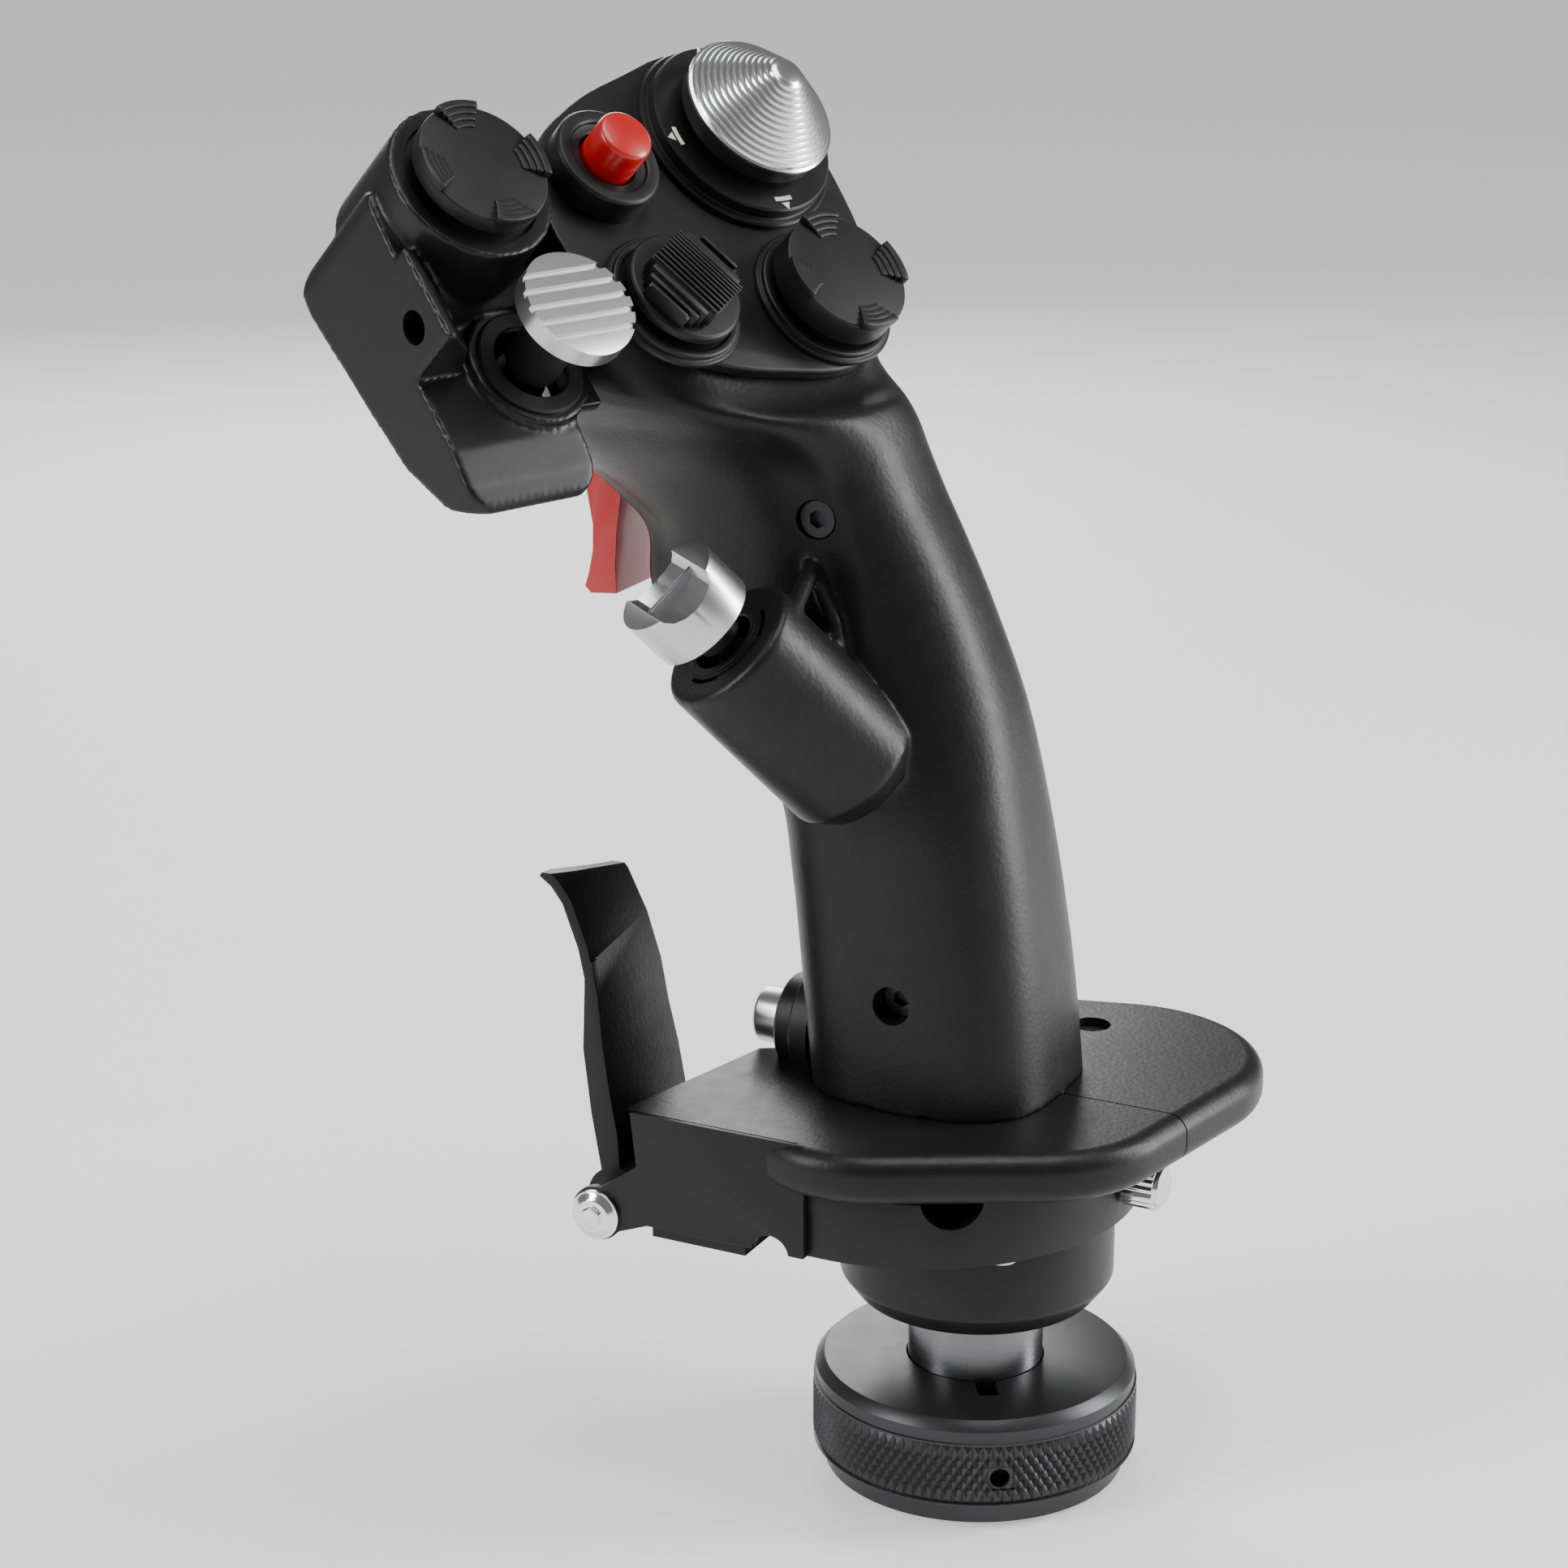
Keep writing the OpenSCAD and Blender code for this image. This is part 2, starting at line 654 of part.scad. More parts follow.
module trim_flange() color(smooth_black) in_head() {
    tube(15.8, 5.2, 1.2);
    translate([0, 0, 1.2]) tube(14.7, 5.2, 2.1);
}
module trim_gimbal() in_head() gimbal();
module trim_hat() color(silver) in_head() {
    difference() {
        rotate_extrude()
            polygon([
                [0, 7.7], [cone_r, 7.7], [cone_r, 8.3], [cone_r - 0.6, 8.6],
                [2.1, 16.2], [1.9, 16.5], [0, 16.5]
            ]);
        translate([0, 0, 7]) cylinder(r = 3, h = 4);
    }
}
module trim_hat_skirt() color(black) in_head() {
    translate([0, 0, 5]) cylinder(r = cone_r - 0.5, h = 2.7);
    translate([0, 0, 7.7]) cylinder(r = 2.95, h = 3.2);
    stem(5.2);
}

module right_hat_bezel() color(black) in_head(RIGHT_HAT) hat_bezel(11.3, 1.7);
module right_hat_gimbal() in_head(RIGHT_HAT) gimbal();
module right_hat() color(black) in_head(RIGHT_HAT) castle_cap(3.2, 8);

module ribbed_hat_bezel() color(black) in_head(RIBBED_HAT) hat_bezel(10.8, 1.7);
module ribbed_hat_gimbal() in_head(RIBBED_HAT) gimbal();
module ribbed_hat() color(black) in_head(RIBBED_HAT) {
    translate([0, 0, 3]) cylinder(r = 8.8, h = 1.4);
    translate([0, 0, 4.4]) cylinder(r1 = 8.4, r2 = 6.4, h = 1.4);
    stem(3.2);
    intersection() {
        union() {
            translate([-4.4, -6.6, 4.4]) cube([8.8, 13.2, 3.4]);
            translate([-6.6, -4.4, 4.4]) cube([13.2, 8.8, 3.0]);
            // Ribs across the top
            for (i = [-3 : 3]) translate([i * 1.25 - 0.3, -6, 7]) cube([0.6, 12, 1.5]);
        }
        translate([0, 0, 4]) cylinder(r = 8, h = 6);
    }
}

module red_button_collar() color(black) in_head(RED_BUTTON) {
    tube(8.2, 5.9, 4.7);
    tube(5.9, 4.45, 4.1);
}
module red_button() color(red) in_head(RED_BUTTON) {
    rotate_extrude() polygon([[0, -5.4], [4.15, -5.4], [4.15, 9.3], [3.7, 9.8], [0, 9.8]]);
}

// ---------- pod on the head's left side ----------

// Left and right sides of the pod, its lower end and its upper end
pod_left = -66;
pod_right = -43.6;
pod_low = -44.8;
pod_high = 2.2;
pod_split_h = -20.6;
// Place of the pod's screw on its outer side, along and above the face
POD_SCREW = [-19.1, -5.6];

module pod_body() {
    r = 4.5;
    intersection() {
        // Side profile, across the pod
        translate([pod_right, 0, 0]) rotate([90, 0, -90]) linear_extrude(pod_right - pod_left)
            polygon([
                [-pod_high, -4.5], [-pod_high, -20.5], [0.7, -23.6], [4.4, -24.1], [22, -22.4],
                [32, -21.2], [40.8, -17.5], [-pod_low, -13.4], [-pod_low, -11], [42.5, pod_deck_h],
                [17.5, pod_deck_h], [12, -2.5], [0, -1.5]
            ]);
        // Plan with rounded corners
        translate([0, 0, -30]) linear_extrude(40) hull()
            for (u = [pod_left + r, pod_right - r], v = [pod_low + r, pod_high - r])
                translate([u, v]) circle(r = r, $fn = 32);
    }
}

module pod_shell() color(black) in_head() {
    difference() {
        union() {
            pod_body();
            // Turret of the castle hat, and the shelf beside the disc hat
            translate([LEFT_HAT[0], LEFT_HAT[1], -14]) cylinder(r = 12.4, h = 14 + pod_top_h);
            translate([-45, -33.5, pod_deck_h - 2.1]) cube([6, 14, 2]);
            // Raised wall along the outer side of the deck
            translate([0, -10, 0]) rotate([90, 0, 0]) linear_extrude(15.5)
                polygon([[pod_left, -10], [pod_left, 0], [-64.6, 0], [-60.4, -4.2], [-57.6, -9.4]]);
            // Neck to the head
            translate([-34, POD_NECK[1], POD_NECK[0]]) rotate([0, -90, 0]) cylinder(r = 5.55, h = 12);
        }
        translate([-30, POD_NECK[1], POD_NECK[0]]) rotate([0, -90, 0]) cylinder(r = 3.4, h = 22);
        translate([LEFT_HAT[0], LEFT_HAT[1], -12]) cylinder(r = 10.2, h = 20);
        translate([DISC_HAT[0], DISC_HAT[1], -24]) cylinder(r = 8, h = 17);
        // Hollow for the switches, open to the cover
        translate([pod_left + wall, -40, -24]) cube([16.6, 38, 12.6]);
        // The cover closes the front side
        translate([-90, -90, pod_split_h - 40]) cube([100, 120, 40]);
        translate([pod_left - 4, POD_SCREW[0], POD_SCREW[1]]) rotate([0, 90, 0]) cylinder(d = 4.8, h = 9);
    }
}

module pod_cover() color(black) in_head() {
    intersection() {
        pod_body();
        translate([-90, -90, pod_split_h - 40]) cube([100, 120, 39.95]);
    }
}

module pod_screw() color(steel) in_head() {
    translate([pod_left + 3.7, POD_SCREW[0], POD_SCREW[1]]) rotate([0, 90, 0]) cylinder(d = 4.7, h = 1.2);
}

module left_hat_bezel() color(black) in_head(LEFT_HAT, pod_top_h) {
    translate([0, 0, -2.6]) tube(10.1, gimbal_r + 0.9, 1.8);
}
module left_hat_gimbal() in_head(LEFT_HAT, pod_top_h) gimbal();
module left_hat() color(black) in_head(LEFT_HAT, pod_top_h) castle_cap(1.6, 4.5);

module disc_hat_collar() color(black) in_head(DISC_HAT, pod_deck_h) {
    tube(8.2, 5.6, 0.8);
}
module disc_hat_gimbal() in_head(DISC_HAT, pod_deck_h) gimbal();
module disc_hat() color(silver) in_head(DISC_HAT, pod_deck_h) {
    translate([0, 0, -7.2]) cylinder(r = stem_r, h = 8);
    translate([0, 0, 0.4]) cylinder(r = 4, h = 11.2);
    difference() {
        translate([0, 0, 11.6]) cylinder(r = disc_r, h = 3.6);
        for (i = [-2 : 2])
            translate([-12, i * 2.5 - 0.5, 14.6]) cube([24, 1, 2]);
    }
}

// ---------- side hat on the grip's left side ----------

module side_hat_housing() color(black) {
    difference() {
        union() {
            in_side(-28) cylinder(r = 10.8, h = 28);
            in_side(-32) cylinder(r1 = 8, r2 = 10.8, h = 4 + eps);
        }
        in_side(-29) cylinder(r = 8.2, h = 25);
        in_side(-10) cylinder(r = 5.2, h = 20);
        // The end inside the grip is cut off flush with its inner wall
        translate([-14.6, -20, 60]) cube([60, 100, 120]);
    }
}
module side_hat_bezel() color(smooth_black) in_side(0) tube(6.6, gimbal_r + 0.9, 0.5);
module side_hat_gimbal() in_side(0) gimbal();
module side_hat() color(silver) in_side(0) {
    translate([0, 0, -7.2]) cylinder(r = stem_r, h = 12);
    translate([0, 0, 1.2]) cylinder(r = 3.4, h = 3.4);
    difference() {
        translate([0, 0, 4.6]) cylinder(r = side_r, h = 8.3);
        // Thumb hollow between two lips, with a rib along its middle
        difference() {
            translate([-4.6, -10, 11.2]) cube([9.2, 20, 4]);
            translate([-4.6, -0.5, 11]) cube([9.2, 1, 2]);
        }
    }
}

// ---------- trigger and front button ----------

module trigger() color(red) {
    difference() {
        translate([-trigger_w / 2, 0, 0]) rotate([90, 0, 90]) linear_extrude(trigger_w)
            polygon([
                [58.6, 160.5], [63.6, 160.5], [64.4, 153], [63.2, 146.6], [62.4, 142], [62.5, 138],
                [63.2, 134.6], [63.9, 132.4], [62.9, 131.4], [58.4, 131.8], [58.6, 136],
                [58.2, 142], [57.2, 149], [57.4, 154]
            ]);
        translate([-10, TRIGGER_PIN[0], TRIGGER_PIN[1]]) rotate([0, 90, 0])
            cylinder(d = trigger_pin_d + 2 * fit, h = 20);
    }
}

module trigger_pin() color(steel) {
    translate([-11, TRIGGER_PIN[0], TRIGGER_PIN[1]]) rotate([0, 90, 0]) cylinder(d = trigger_pin_d, h = 22);
}

module trigger_spring() color(steel) {
    translate([6, TRIGGER_PIN[0], TRIGGER_PIN[1]]) rotate([0, 90, 0]) coil(2.1, 0.25, 0.55, 3);
}

module front_button_collar() color(black) {
    translate([0, 0, front_button_z]) rotate([-90, 0, 0]) {
        translate([0, 0, 25.2]) tube(8.4, 4.6, 3.2);
        translate([0, 0, 28.4]) tube(7.2, 4.6, 3);
        translate([0, 0, 18]) tube(6, 4.6, 7.2);
    }
}

module front_button() color(silver) {
    translate([0, 0, front_button_z]) rotate([-90, 0, 0]) {
        translate([0, 0, 20]) cylinder(r = 4.35, h = 16);
        translate([0, 0, 36]) cylinder(r1 = 4.35, r2 = 3.9, h = 0.5);
    }
}

connector_shaft();
connector_socket();
contact_pins();
lock_ring();
ring_washer();
neck_collar();
base_housing();
housing_screws();
outer_ear_plate();
inner_ear_plate();
paddle_axle();
axle_caps();
paddle_lever();
paddle_spring();
paddle_switch_cover();
palm_rest_left();
palm_rest_right();
palm_rest_screws();
thumb_knob();
grip_left_shell();
grip_right_shell();
grip_screws();
grip_spine();
main_board();
face_plate();
head_board();
hat_switches();
micro_switches();
trigger();
trigger_pin();
trigger_spring();
front_button();
front_button_collar();
trim_flange();
trim_gimbal();
trim_hat();
trim_hat_skirt();
right_hat_bezel();
right_hat_gimbal();
right_hat();
ribbed_hat_bezel();
ribbed_hat_gimbal();
ribbed_hat();
red_button_collar();
red_button();
pod_shell();
pod_cover();
pod_screw();
left_hat_bezel();
left_hat_gimbal();
left_hat();
disc_hat_collar();
disc_hat_gimbal();
disc_hat();
side_hat_housing();
side_hat_bezel();
side_hat_gimbal();
side_hat();
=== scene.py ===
"""Looks of a flight joystick grip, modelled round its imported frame."""

import json
import math

import bpy
from mathutils import Matrix, Vector


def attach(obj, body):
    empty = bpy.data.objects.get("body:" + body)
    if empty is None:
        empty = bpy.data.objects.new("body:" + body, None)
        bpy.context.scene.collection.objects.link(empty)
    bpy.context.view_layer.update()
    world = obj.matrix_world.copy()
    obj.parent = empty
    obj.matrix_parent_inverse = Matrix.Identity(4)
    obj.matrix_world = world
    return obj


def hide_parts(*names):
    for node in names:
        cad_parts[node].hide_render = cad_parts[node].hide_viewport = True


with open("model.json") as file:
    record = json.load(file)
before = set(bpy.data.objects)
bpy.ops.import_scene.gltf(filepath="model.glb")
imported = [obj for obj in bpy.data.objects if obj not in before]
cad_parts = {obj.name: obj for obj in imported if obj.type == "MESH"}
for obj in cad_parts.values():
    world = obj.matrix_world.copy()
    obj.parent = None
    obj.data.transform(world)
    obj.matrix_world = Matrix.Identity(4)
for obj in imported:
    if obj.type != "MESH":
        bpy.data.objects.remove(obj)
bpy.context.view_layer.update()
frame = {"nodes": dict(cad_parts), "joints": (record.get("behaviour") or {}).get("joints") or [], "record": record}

bl_info = {
    "name": "Flight Grip Looks",
    "version": (1, 0, 0),
    "blender": (4, 5, 0),
    "location": "View3D > Sidebar > Flight Grip",
    "description": "Models the visible surfaces of a flight joystick grip",
    "category": "Object",
}

MM = 0.001
JOINTS = {j["name"]: j for j in frame["joints"]}
SLOTS = {part["node"]: part["material_slot"] for part in frame["record"]["subparts"]}
# Steel parts that sit in dark recesses, given the black anodised finish as painted shade
RECESS_SHADE_PARTS = {"pod_screw", "grip_screws"} | {node for node in SLOTS if node.endswith("gimbal")}
# Hats turn about a pivot this far below the surface they stand on
PIVOT_DEPTH = 3.4
# Middles in the head's frame, across the face and up it, in millimetres
RED_BUTTON = (-28, -2.8)
LEFT_HAT = (-52.4, -3.3)
DISC_HAT = (-47.8, -25.8)


# ---------- places ----------

def seat(hat):
    """Matrix of a hat's own frame: origin on the surface below it, Z along its stem."""
    fore, side = JOINTS[hat + "_fore"], JOINTS[hat + "_side"]
    u, v = Vector(fore["axis"]), Vector(side["axis"])
    n = u.cross(v)
    origin = Vector(fore["pos_m"]) + n * PIVOT_DEPTH * MM
    return Matrix.Translation(origin) @ Matrix((u, v, n)).transposed().to_4x4()


HEAD = seat("trim")
UPRIGHT = Matrix.Identity(4)


def in_head(u, v, h=0.0):
    """Frame of a point of the head, in millimetres."""
    return HEAD @ Matrix.Translation(Vector((u, v, h)) * MM)


def along_x(x, y, z):
    """Frame whose Z runs along +X, at a point in millimetres."""
    return Matrix.Translation(Vector((x, y, z)) * MM) @ Matrix.Rotation(math.pi / 2, 4, "Y")


def along_y(x, y, z):
    """Frame whose Z runs along +Y, at a point in millimetres."""
    return Matrix.Translation(Vector((x, y, z)) * MM) @ Matrix.Rotation(-math.pi / 2, 4, "X")


# ---------- modelling ----------

def clear():
    bpy.ops.object.select_all(action="DESELECT")


def take(*objects):
    clear()
    for ob in objects:
        ob.select_set(True)
    bpy.context.view_layer.objects.active = objects[-1]


def from_points(name, points, edges=(), faces=()):
    """A mesh object from points in millimetres."""
    mesh = bpy.data.meshes.new(name)
    mesh.from_pydata([Vector(p) * MM for p in points], list(edges), list(faces))
    ob = bpy.data.objects.new(name, mesh)
    bpy.context.scene.collection.objects.link(ob)
    return ob


def edit(ob, *steps):
    """Runs edit-mode steps on everything in ob."""
    take(ob)
    bpy.ops.object.mode_set(mode="EDIT")
    bpy.ops.mesh.select_all(action="SELECT")
    for step in steps:
        step()
    bpy.ops.object.mode_set(mode="OBJECT")


def merge():
    bpy.ops.mesh.remove_doubles(threshold=1e-6)


def outward():
    bpy.ops.mesh.normals_make_consistent(inside=False)


def apply(ob, kind, **settings):
    """Adds a modifier to ob, sets it and applies it."""
    take(ob)
    modifier = ob.modifiers.new(kind.title(), kind)
    for key, value in settings.items():
        setattr(modifier, key, value)
    bpy.ops.object.modifier_apply(modifier=modifier.name)


def round_edges(ob, width, segments=3, angle=35):
    apply(ob, "BEVEL", width=width * MM, segments=segments, limit_method="ANGLE",
          angle_limit=math.radians(angle), use_clamp_overlap=True, harden_normals=False)
    return ob


def smooth(ob, angle=35):
    take(ob)
    bpy.ops.object.shade_smooth_by_angle(angle=math.radians(angle))
    return ob


def turned(name, profile, place=UPRIGHT, steps=96):
    """A shape turned about Z from (radius, height) points."""
    edges = [(i, i + 1) for i in range(len(profile) - 1)]
    ob = from_points(name, [(r, 0, h) for r, h in profile], edges)
    edit(
        ob,
        lambda: bpy.ops.mesh.spin(steps=steps, angle=math.tau, center=(0, 0, 0), axis=(0, 0, 1)),
        merge,
        outward,
    )
    ob.data.transform(place)
    return ob


def slab(name, outline, low, high, place=UPRIGHT):
    """An outline in X and Y, extruded along Z."""
    ob = from_points(name, [(x, y, low) for x, y in outline], faces=[range(len(outline))])
    edit(
        ob,
        lambda: bpy.ops.mesh.extrude_region_move(
            TRANSFORM_OT_translate={"value": (0, 0, (high - low) * MM)}
        ),
        outward,
    )
    ob.data.transform(place)
    return ob


def rod(name, radius, low, high, place=UPRIGHT, steps=64):
    """A straight round bar along Z."""
    angles = [math.tau * i / steps for i in range(steps)]
    return slab(name, [(radius * math.cos(a), radius * math.sin(a)) for a in angles], low, high, place)


def block(name, low, high, place=UPRIGHT):
    """A block between two opposite corners."""
    x0, y0 = low[:2]
    x1, y1 = high[:2]
    return slab(name, [(x0, y0), (x1, y0), (x1, y1), (x0, y1)], low[2], high[2], place)


def wrapped(name, balls, place=UPRIGHT):
    """The convex skin round spheres given as (x, y, z, radius)."""
    clear()
    made = []
    for x, y, z, r in balls:
        bpy.ops.mesh.primitive_uv_sphere_add(
            segments=24, ring_count=12, radius=r * MM, location=(x * MM, y * MM, z * MM)
        )
        made.append(bpy.context.object)
    ob = joined(name, made)
    edit(ob, bpy.ops.mesh.convex_hull, outward)
    ob.data.transform(place)
    return ob


def joined(name, objects):
    take(*objects)
    bpy.ops.object.join()
    ob = bpy.context.object
    bpy.ops.object.transform_apply(location=True, rotation=True, scale=True)
    ob.name = name
    return ob


def carve(ob, cutter, operation="DIFFERENCE", solver="EXACT"):
    """Cuts, joins or trims ob with a closed cutter, which is used up."""
    apply(ob, "BOOLEAN", object=cutter, operation=operation, solver=solver)
    if not ob.data.polygons:
        raise RuntimeError(f"{ob.name} has nothing left after {cutter.name}")
    bpy.data.objects.remove(cutter)
    return ob


def remeshed(ob, voxel, rounds):
    """One even skin over everything in ob, relaxed so that its joins become fillets."""
    take(ob)
    ob.data.remesh_voxel_size = voxel * MM
    bpy.ops.object.voxel_remesh()
    apply(ob, "SMOOTH", factor=0.5, iterations=rounds)
    return ob


def from_frame(name, node):
    """A merged copy of a frame node's mesh."""
    ob = bpy.data.objects.new(name, frame["nodes"][node].data.copy())
    bpy.context.scene.collection.objects.link(ob)
    ob.data.materials.clear()
    edit(ob, merge, lambda: bpy.ops.mesh.dissolve_limited(angle_limit=math.radians(1.5)))
    return ob


def softened(name, node, width, segments=3):
    """A copy of a frame node with rounded edges."""
    ob = round_edges(from_frame(name, node), width, segments)
    return smooth(ob)


def finish(ob, body, slot, material, *nodes):
    """Gives a piece its material and its place in the frame."""
    ob.name = ob.name.split(".")[0].replace(" ", "-")
    ob.data.materials.clear()
    ob.data.materials.append(material)
    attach(ob, body)
    if nodes:
        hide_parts(*nodes)
    return ob


# ---------- materials ----------

class Value:
    """A number on its way through a material's nodes."""

    def __init__(self, paint, socket):
        self.paint = paint
        self.socket = socket

    def _math(self, operation, first, second):
        return Value(self.paint, self.paint.node("Math", {"operation": operation}, first, second).outputs[0])

    def __add__(self, other):
        return self._math("ADD", self, other)

    def __mul__(self, other):
        return self._math("MULTIPLY", self, other)

    __radd__ = __add__
    __rmul__ = __mul__


class Paint:
    """A material with one Principled shader, built from nodes."""

    def __init__(self, name, color, roughness, metallic=0.0, coat=0.0, specular=0.28):
        self.material = bpy.data.materials.new(name)
        self.material.use_nodes = True
        self.tree = self.material.node_tree
        self.shader = next(n for n in self.tree.nodes if n.type == "BSDF_PRINCIPLED")
        self.color = color
        self.shader.inputs["Base Color"].default_value = (*color, 1)
        self.shader.inputs["Roughness"].default_value = roughness
        self.shader.inputs["Metallic"].default_value = metallic
        self.shader.inputs["Coat Weight"].default_value = coat
        self.shader.inputs["Specular IOR Level"].default_value = 0.5 if metallic or coat else specular
        self.place = self.node("TexCoord", {}).outputs["Object"]

    def node(self, kind, settings, *values, **named):
        made = self.tree.nodes.new("ShaderNode" + kind)
        for key, value in settings.items():
            setattr(made, key, value)
        for key, value in [*enumerate(values), *named.items()]:
            socket = made.inputs[key]
            value = value.socket if isinstance(value, Value) else value
            if isinstance(value, bpy.types.NodeSocket):
                self.tree.links.new(value, socket)
            else:
                socket.default_value = value
        return made

    def stretched(self, scale):
        """Object coordinates scaled differently along each axis."""
        return self.node("Mapping", {}, Vector=self.place, Scale=scale).outputs[0]

    def noise(self, scale, detail=2.0, vector=None):
        made = self.node("TexNoise", {}, Vector=vector or self.place, Scale=scale, Detail=detail)
        return Value(self, made.outputs[0])

    def cells(self, scale):
        made = self.node("TexVoronoi", {"feature": "SMOOTH_F1"}, Vector=self.place, Scale=scale)
        return Value(self, made.outputs["Distance"])

    def feed(self, name, value):
        self.tree.links.new(value.socket if isinstance(value, Value) else value, self.shader.inputs[name])

    def bump(self, height, strength, distance):
        made = self.node("Bump", {}, Strength=strength, Distance=distance * MM, Height=height)
        self.feed("Normal", made.outputs[0])

    def shade(self, factor, darker, lighter):
        """Base colour that drifts between two brightnesses of the finish."""
        made = self.node("Mix", {"data_type": "RGBA"})
        self.tree.links.new(factor.socket, made.inputs[0])
        made.inputs[6].default_value = (*[c * darker for c in self.color], 1)
        made.inputs[7].default_value = (*[min(c * lighter, 1) for c in self.color], 1)
        self.feed("Base Color", made.outputs[2])


def grained(name, color, roughness, grain=1500, strength=0.25):
    """Moulded plastic with a fine leather-like grain."""
    p = Paint(name, color, roughness)
    fine = p.cells(grain)
    broad = p.noise(320, 3)
    p.bump(fine * 0.7 + broad * 0.5, strength, 0.16)
    p.feed("Roughness", broad * 0.14 + (roughness - 0.07))
    p.shade(p.noise(60, 4), 0.85, 1.2)
    return p.material


def satin(name, color, roughness, metallic=0.0, coat=0.0):
    """A smooth moulded or painted finish with a faint orange peel."""
    p = Paint(name, color, roughness, metallic, coat)
    peel = p.noise(900, 2)
    p.bump(peel, 0.06, 0.1)
    p.feed("Roughness", p.noise(240, 3) * 0.12 + (roughness - 0.06))
    p.shade(p.noise(50, 3), 0.9, 1.12)
    return p.material


def machined(name, color, roughness, scale=(40, 40, 6000)):
    """Turned or brushed metal, with marks across the scale's long axis."""
    p = Paint(name, color, roughness, metallic=1.0)
    marks = p.noise(1, 3, p.stretched(scale))
    p.bump(marks, 0.12, 0.01)
    p.feed("Roughness", marks * 0.1 + (roughness - 0.05))
    p.shade(p.noise(120, 3), 0.94, 1.04)
    return p.material


def finishes():
    """Finishes by the record's slot names, and more for pieces that differ from their slot."""
    size = bpy.context.scene.grip_looks
    black = list(size.grip_color)
    # Marks this small look the same in every direction
    even = (5000, 5000, 5000)
    return {
        "grip_black": grained("grained black plastic", black, size.grip_roughness),
        "smooth_black": satin("satin black plastic", [c * 1.15 for c in black], 0.40),
        "control_black": satin("control black plastic", [c * 1.35 for c in black], 0.42),
        "control_red": satin("red plastic", list(size.red_color), 0.32, coat=0.25),
        "silver": machined("satin aluminium", (0.60, 0.60, 0.61), 0.30, even),
        "steel": machined("plain steel", (0.5, 0.5, 0.52), 0.30, even),
        "ribbed_silver": machined("polished aluminium", (0.72, 0.72, 0.73), 0.2, even),
        "pod_black": satin("smooth pod plastic", [c * 1.1 for c in black], 0.36),
        "chrome": machined("bright plated steel", (0.82, 0.82, 0.84), 0.14, even),
        "dark_metal": machined("dark turned steel", (0.19, 0.19, 0.195), 0.27),
        # The lock ring's own finish, also used as painted shade on steel parts in dark recesses
        "ring_black": satin("black anodised metal", (0.05, 0.05, 0.052), 0.36, metallic=0.75),
        "contact_gold": machined("gold plating", (0.85, 0.6, 0.25), 0.25, even),
        "board_green": satin("circuit board", (0.02, 0.13, 0.05), 0.35),
        "print_white": satin("white print", (0.82, 0.82, 0.8), 0.5),
    }


FINISH = {}


# ---------- grip skin ----------

# Middle of each section, its tilt and twist, half depth, half widths to the left and right,
# powers of the two sides, and its share of the face outline
STATIONS = [
    (0, 5.2, 62.2, 0, 0, 18.8, 18.6, 18.6, 3.0, 3.0, 0),
    (0, 6.9, 78, 1, 0, 19.1, 18.2, 18.2, 2.9, 2.9, 0),
    (0, 9.0, 93.5, 2, 0, 19.0, 17.8, 17.8, 2.8, 2.8, 0),
    (0, 11.6, 106.5, 2, 0, 19.2, 17.5, 17.5, 2.7, 2.7, 0),
    (0, 17.5, 118, -5, 0, 22.0, 17.2, 17.2, 2.5, 2.6, 0),
    (0, 24.3, 129, -10, 0, 24.0, 17.0, 17.0, 2.4, 2.6, 0),
    (-0.5, 28.9, 139, -11, 0, 24.0, 17.0, 17.2, 2.4, 2.6, 0),
    (-1, 31.2, 147.5, -11, 2, 22.2, 17.4, 17.6, 2.3, 2.6, 0),
    (-1.8, 36, 154, -12, 6, 24.0, 18.8, 18.6, 2.2, 2.6, 0.05),
    (-3.6, 43.4, 162, -4, 12, 28.3, 23.5, 20.6, 2.1, 2.9, 0.25),
    (-6.0, 47, 176, 22, 18, 28.4, 26.4, 25.0, 2.0, 3.2, 0.65),
    (-7.33, 43.77, 188.73, 47.5, 20, 28.4, 28.6, 28.4, 2.0, 3.4, 1),
]
# Radius of the face outline at every 30 degrees
FACE_RADII = [28.4, 30.9, 31.2, 25.1, 24.3, 26.8, 27, 26.8, 26.6, 27.1, 31.3, 29]


def spline(a, b, c, d, t):
    """A smooth curve from b to c that also heeds a and d."""
    curve = 2 * b + (c - a) * t + (2 * a - 5 * b + 4 * c - d) * t * t + (3 * b - a - 3 * c + d) * t ** 3
    return 0.5 * curve


def station(s):
    """The row of STATIONS at s, with those between two whole numbers blended."""
    k = min(int(s), len(STATIONS) - 2)
    near = [STATIONS[max(min(i, len(STATIONS) - 1), 0)] for i in range(k - 1, k + 3)]
    return [spline(*values, s - k) for values in zip(*near)]


def face_radius(q):
    n = len(FACE_RADII)
    k = (q % math.tau) * n / math.tau
    i = int(k)
    return spline(*[FACE_RADII[(i + j) % n] for j in (-1, 0, 1, 2)], k - i)


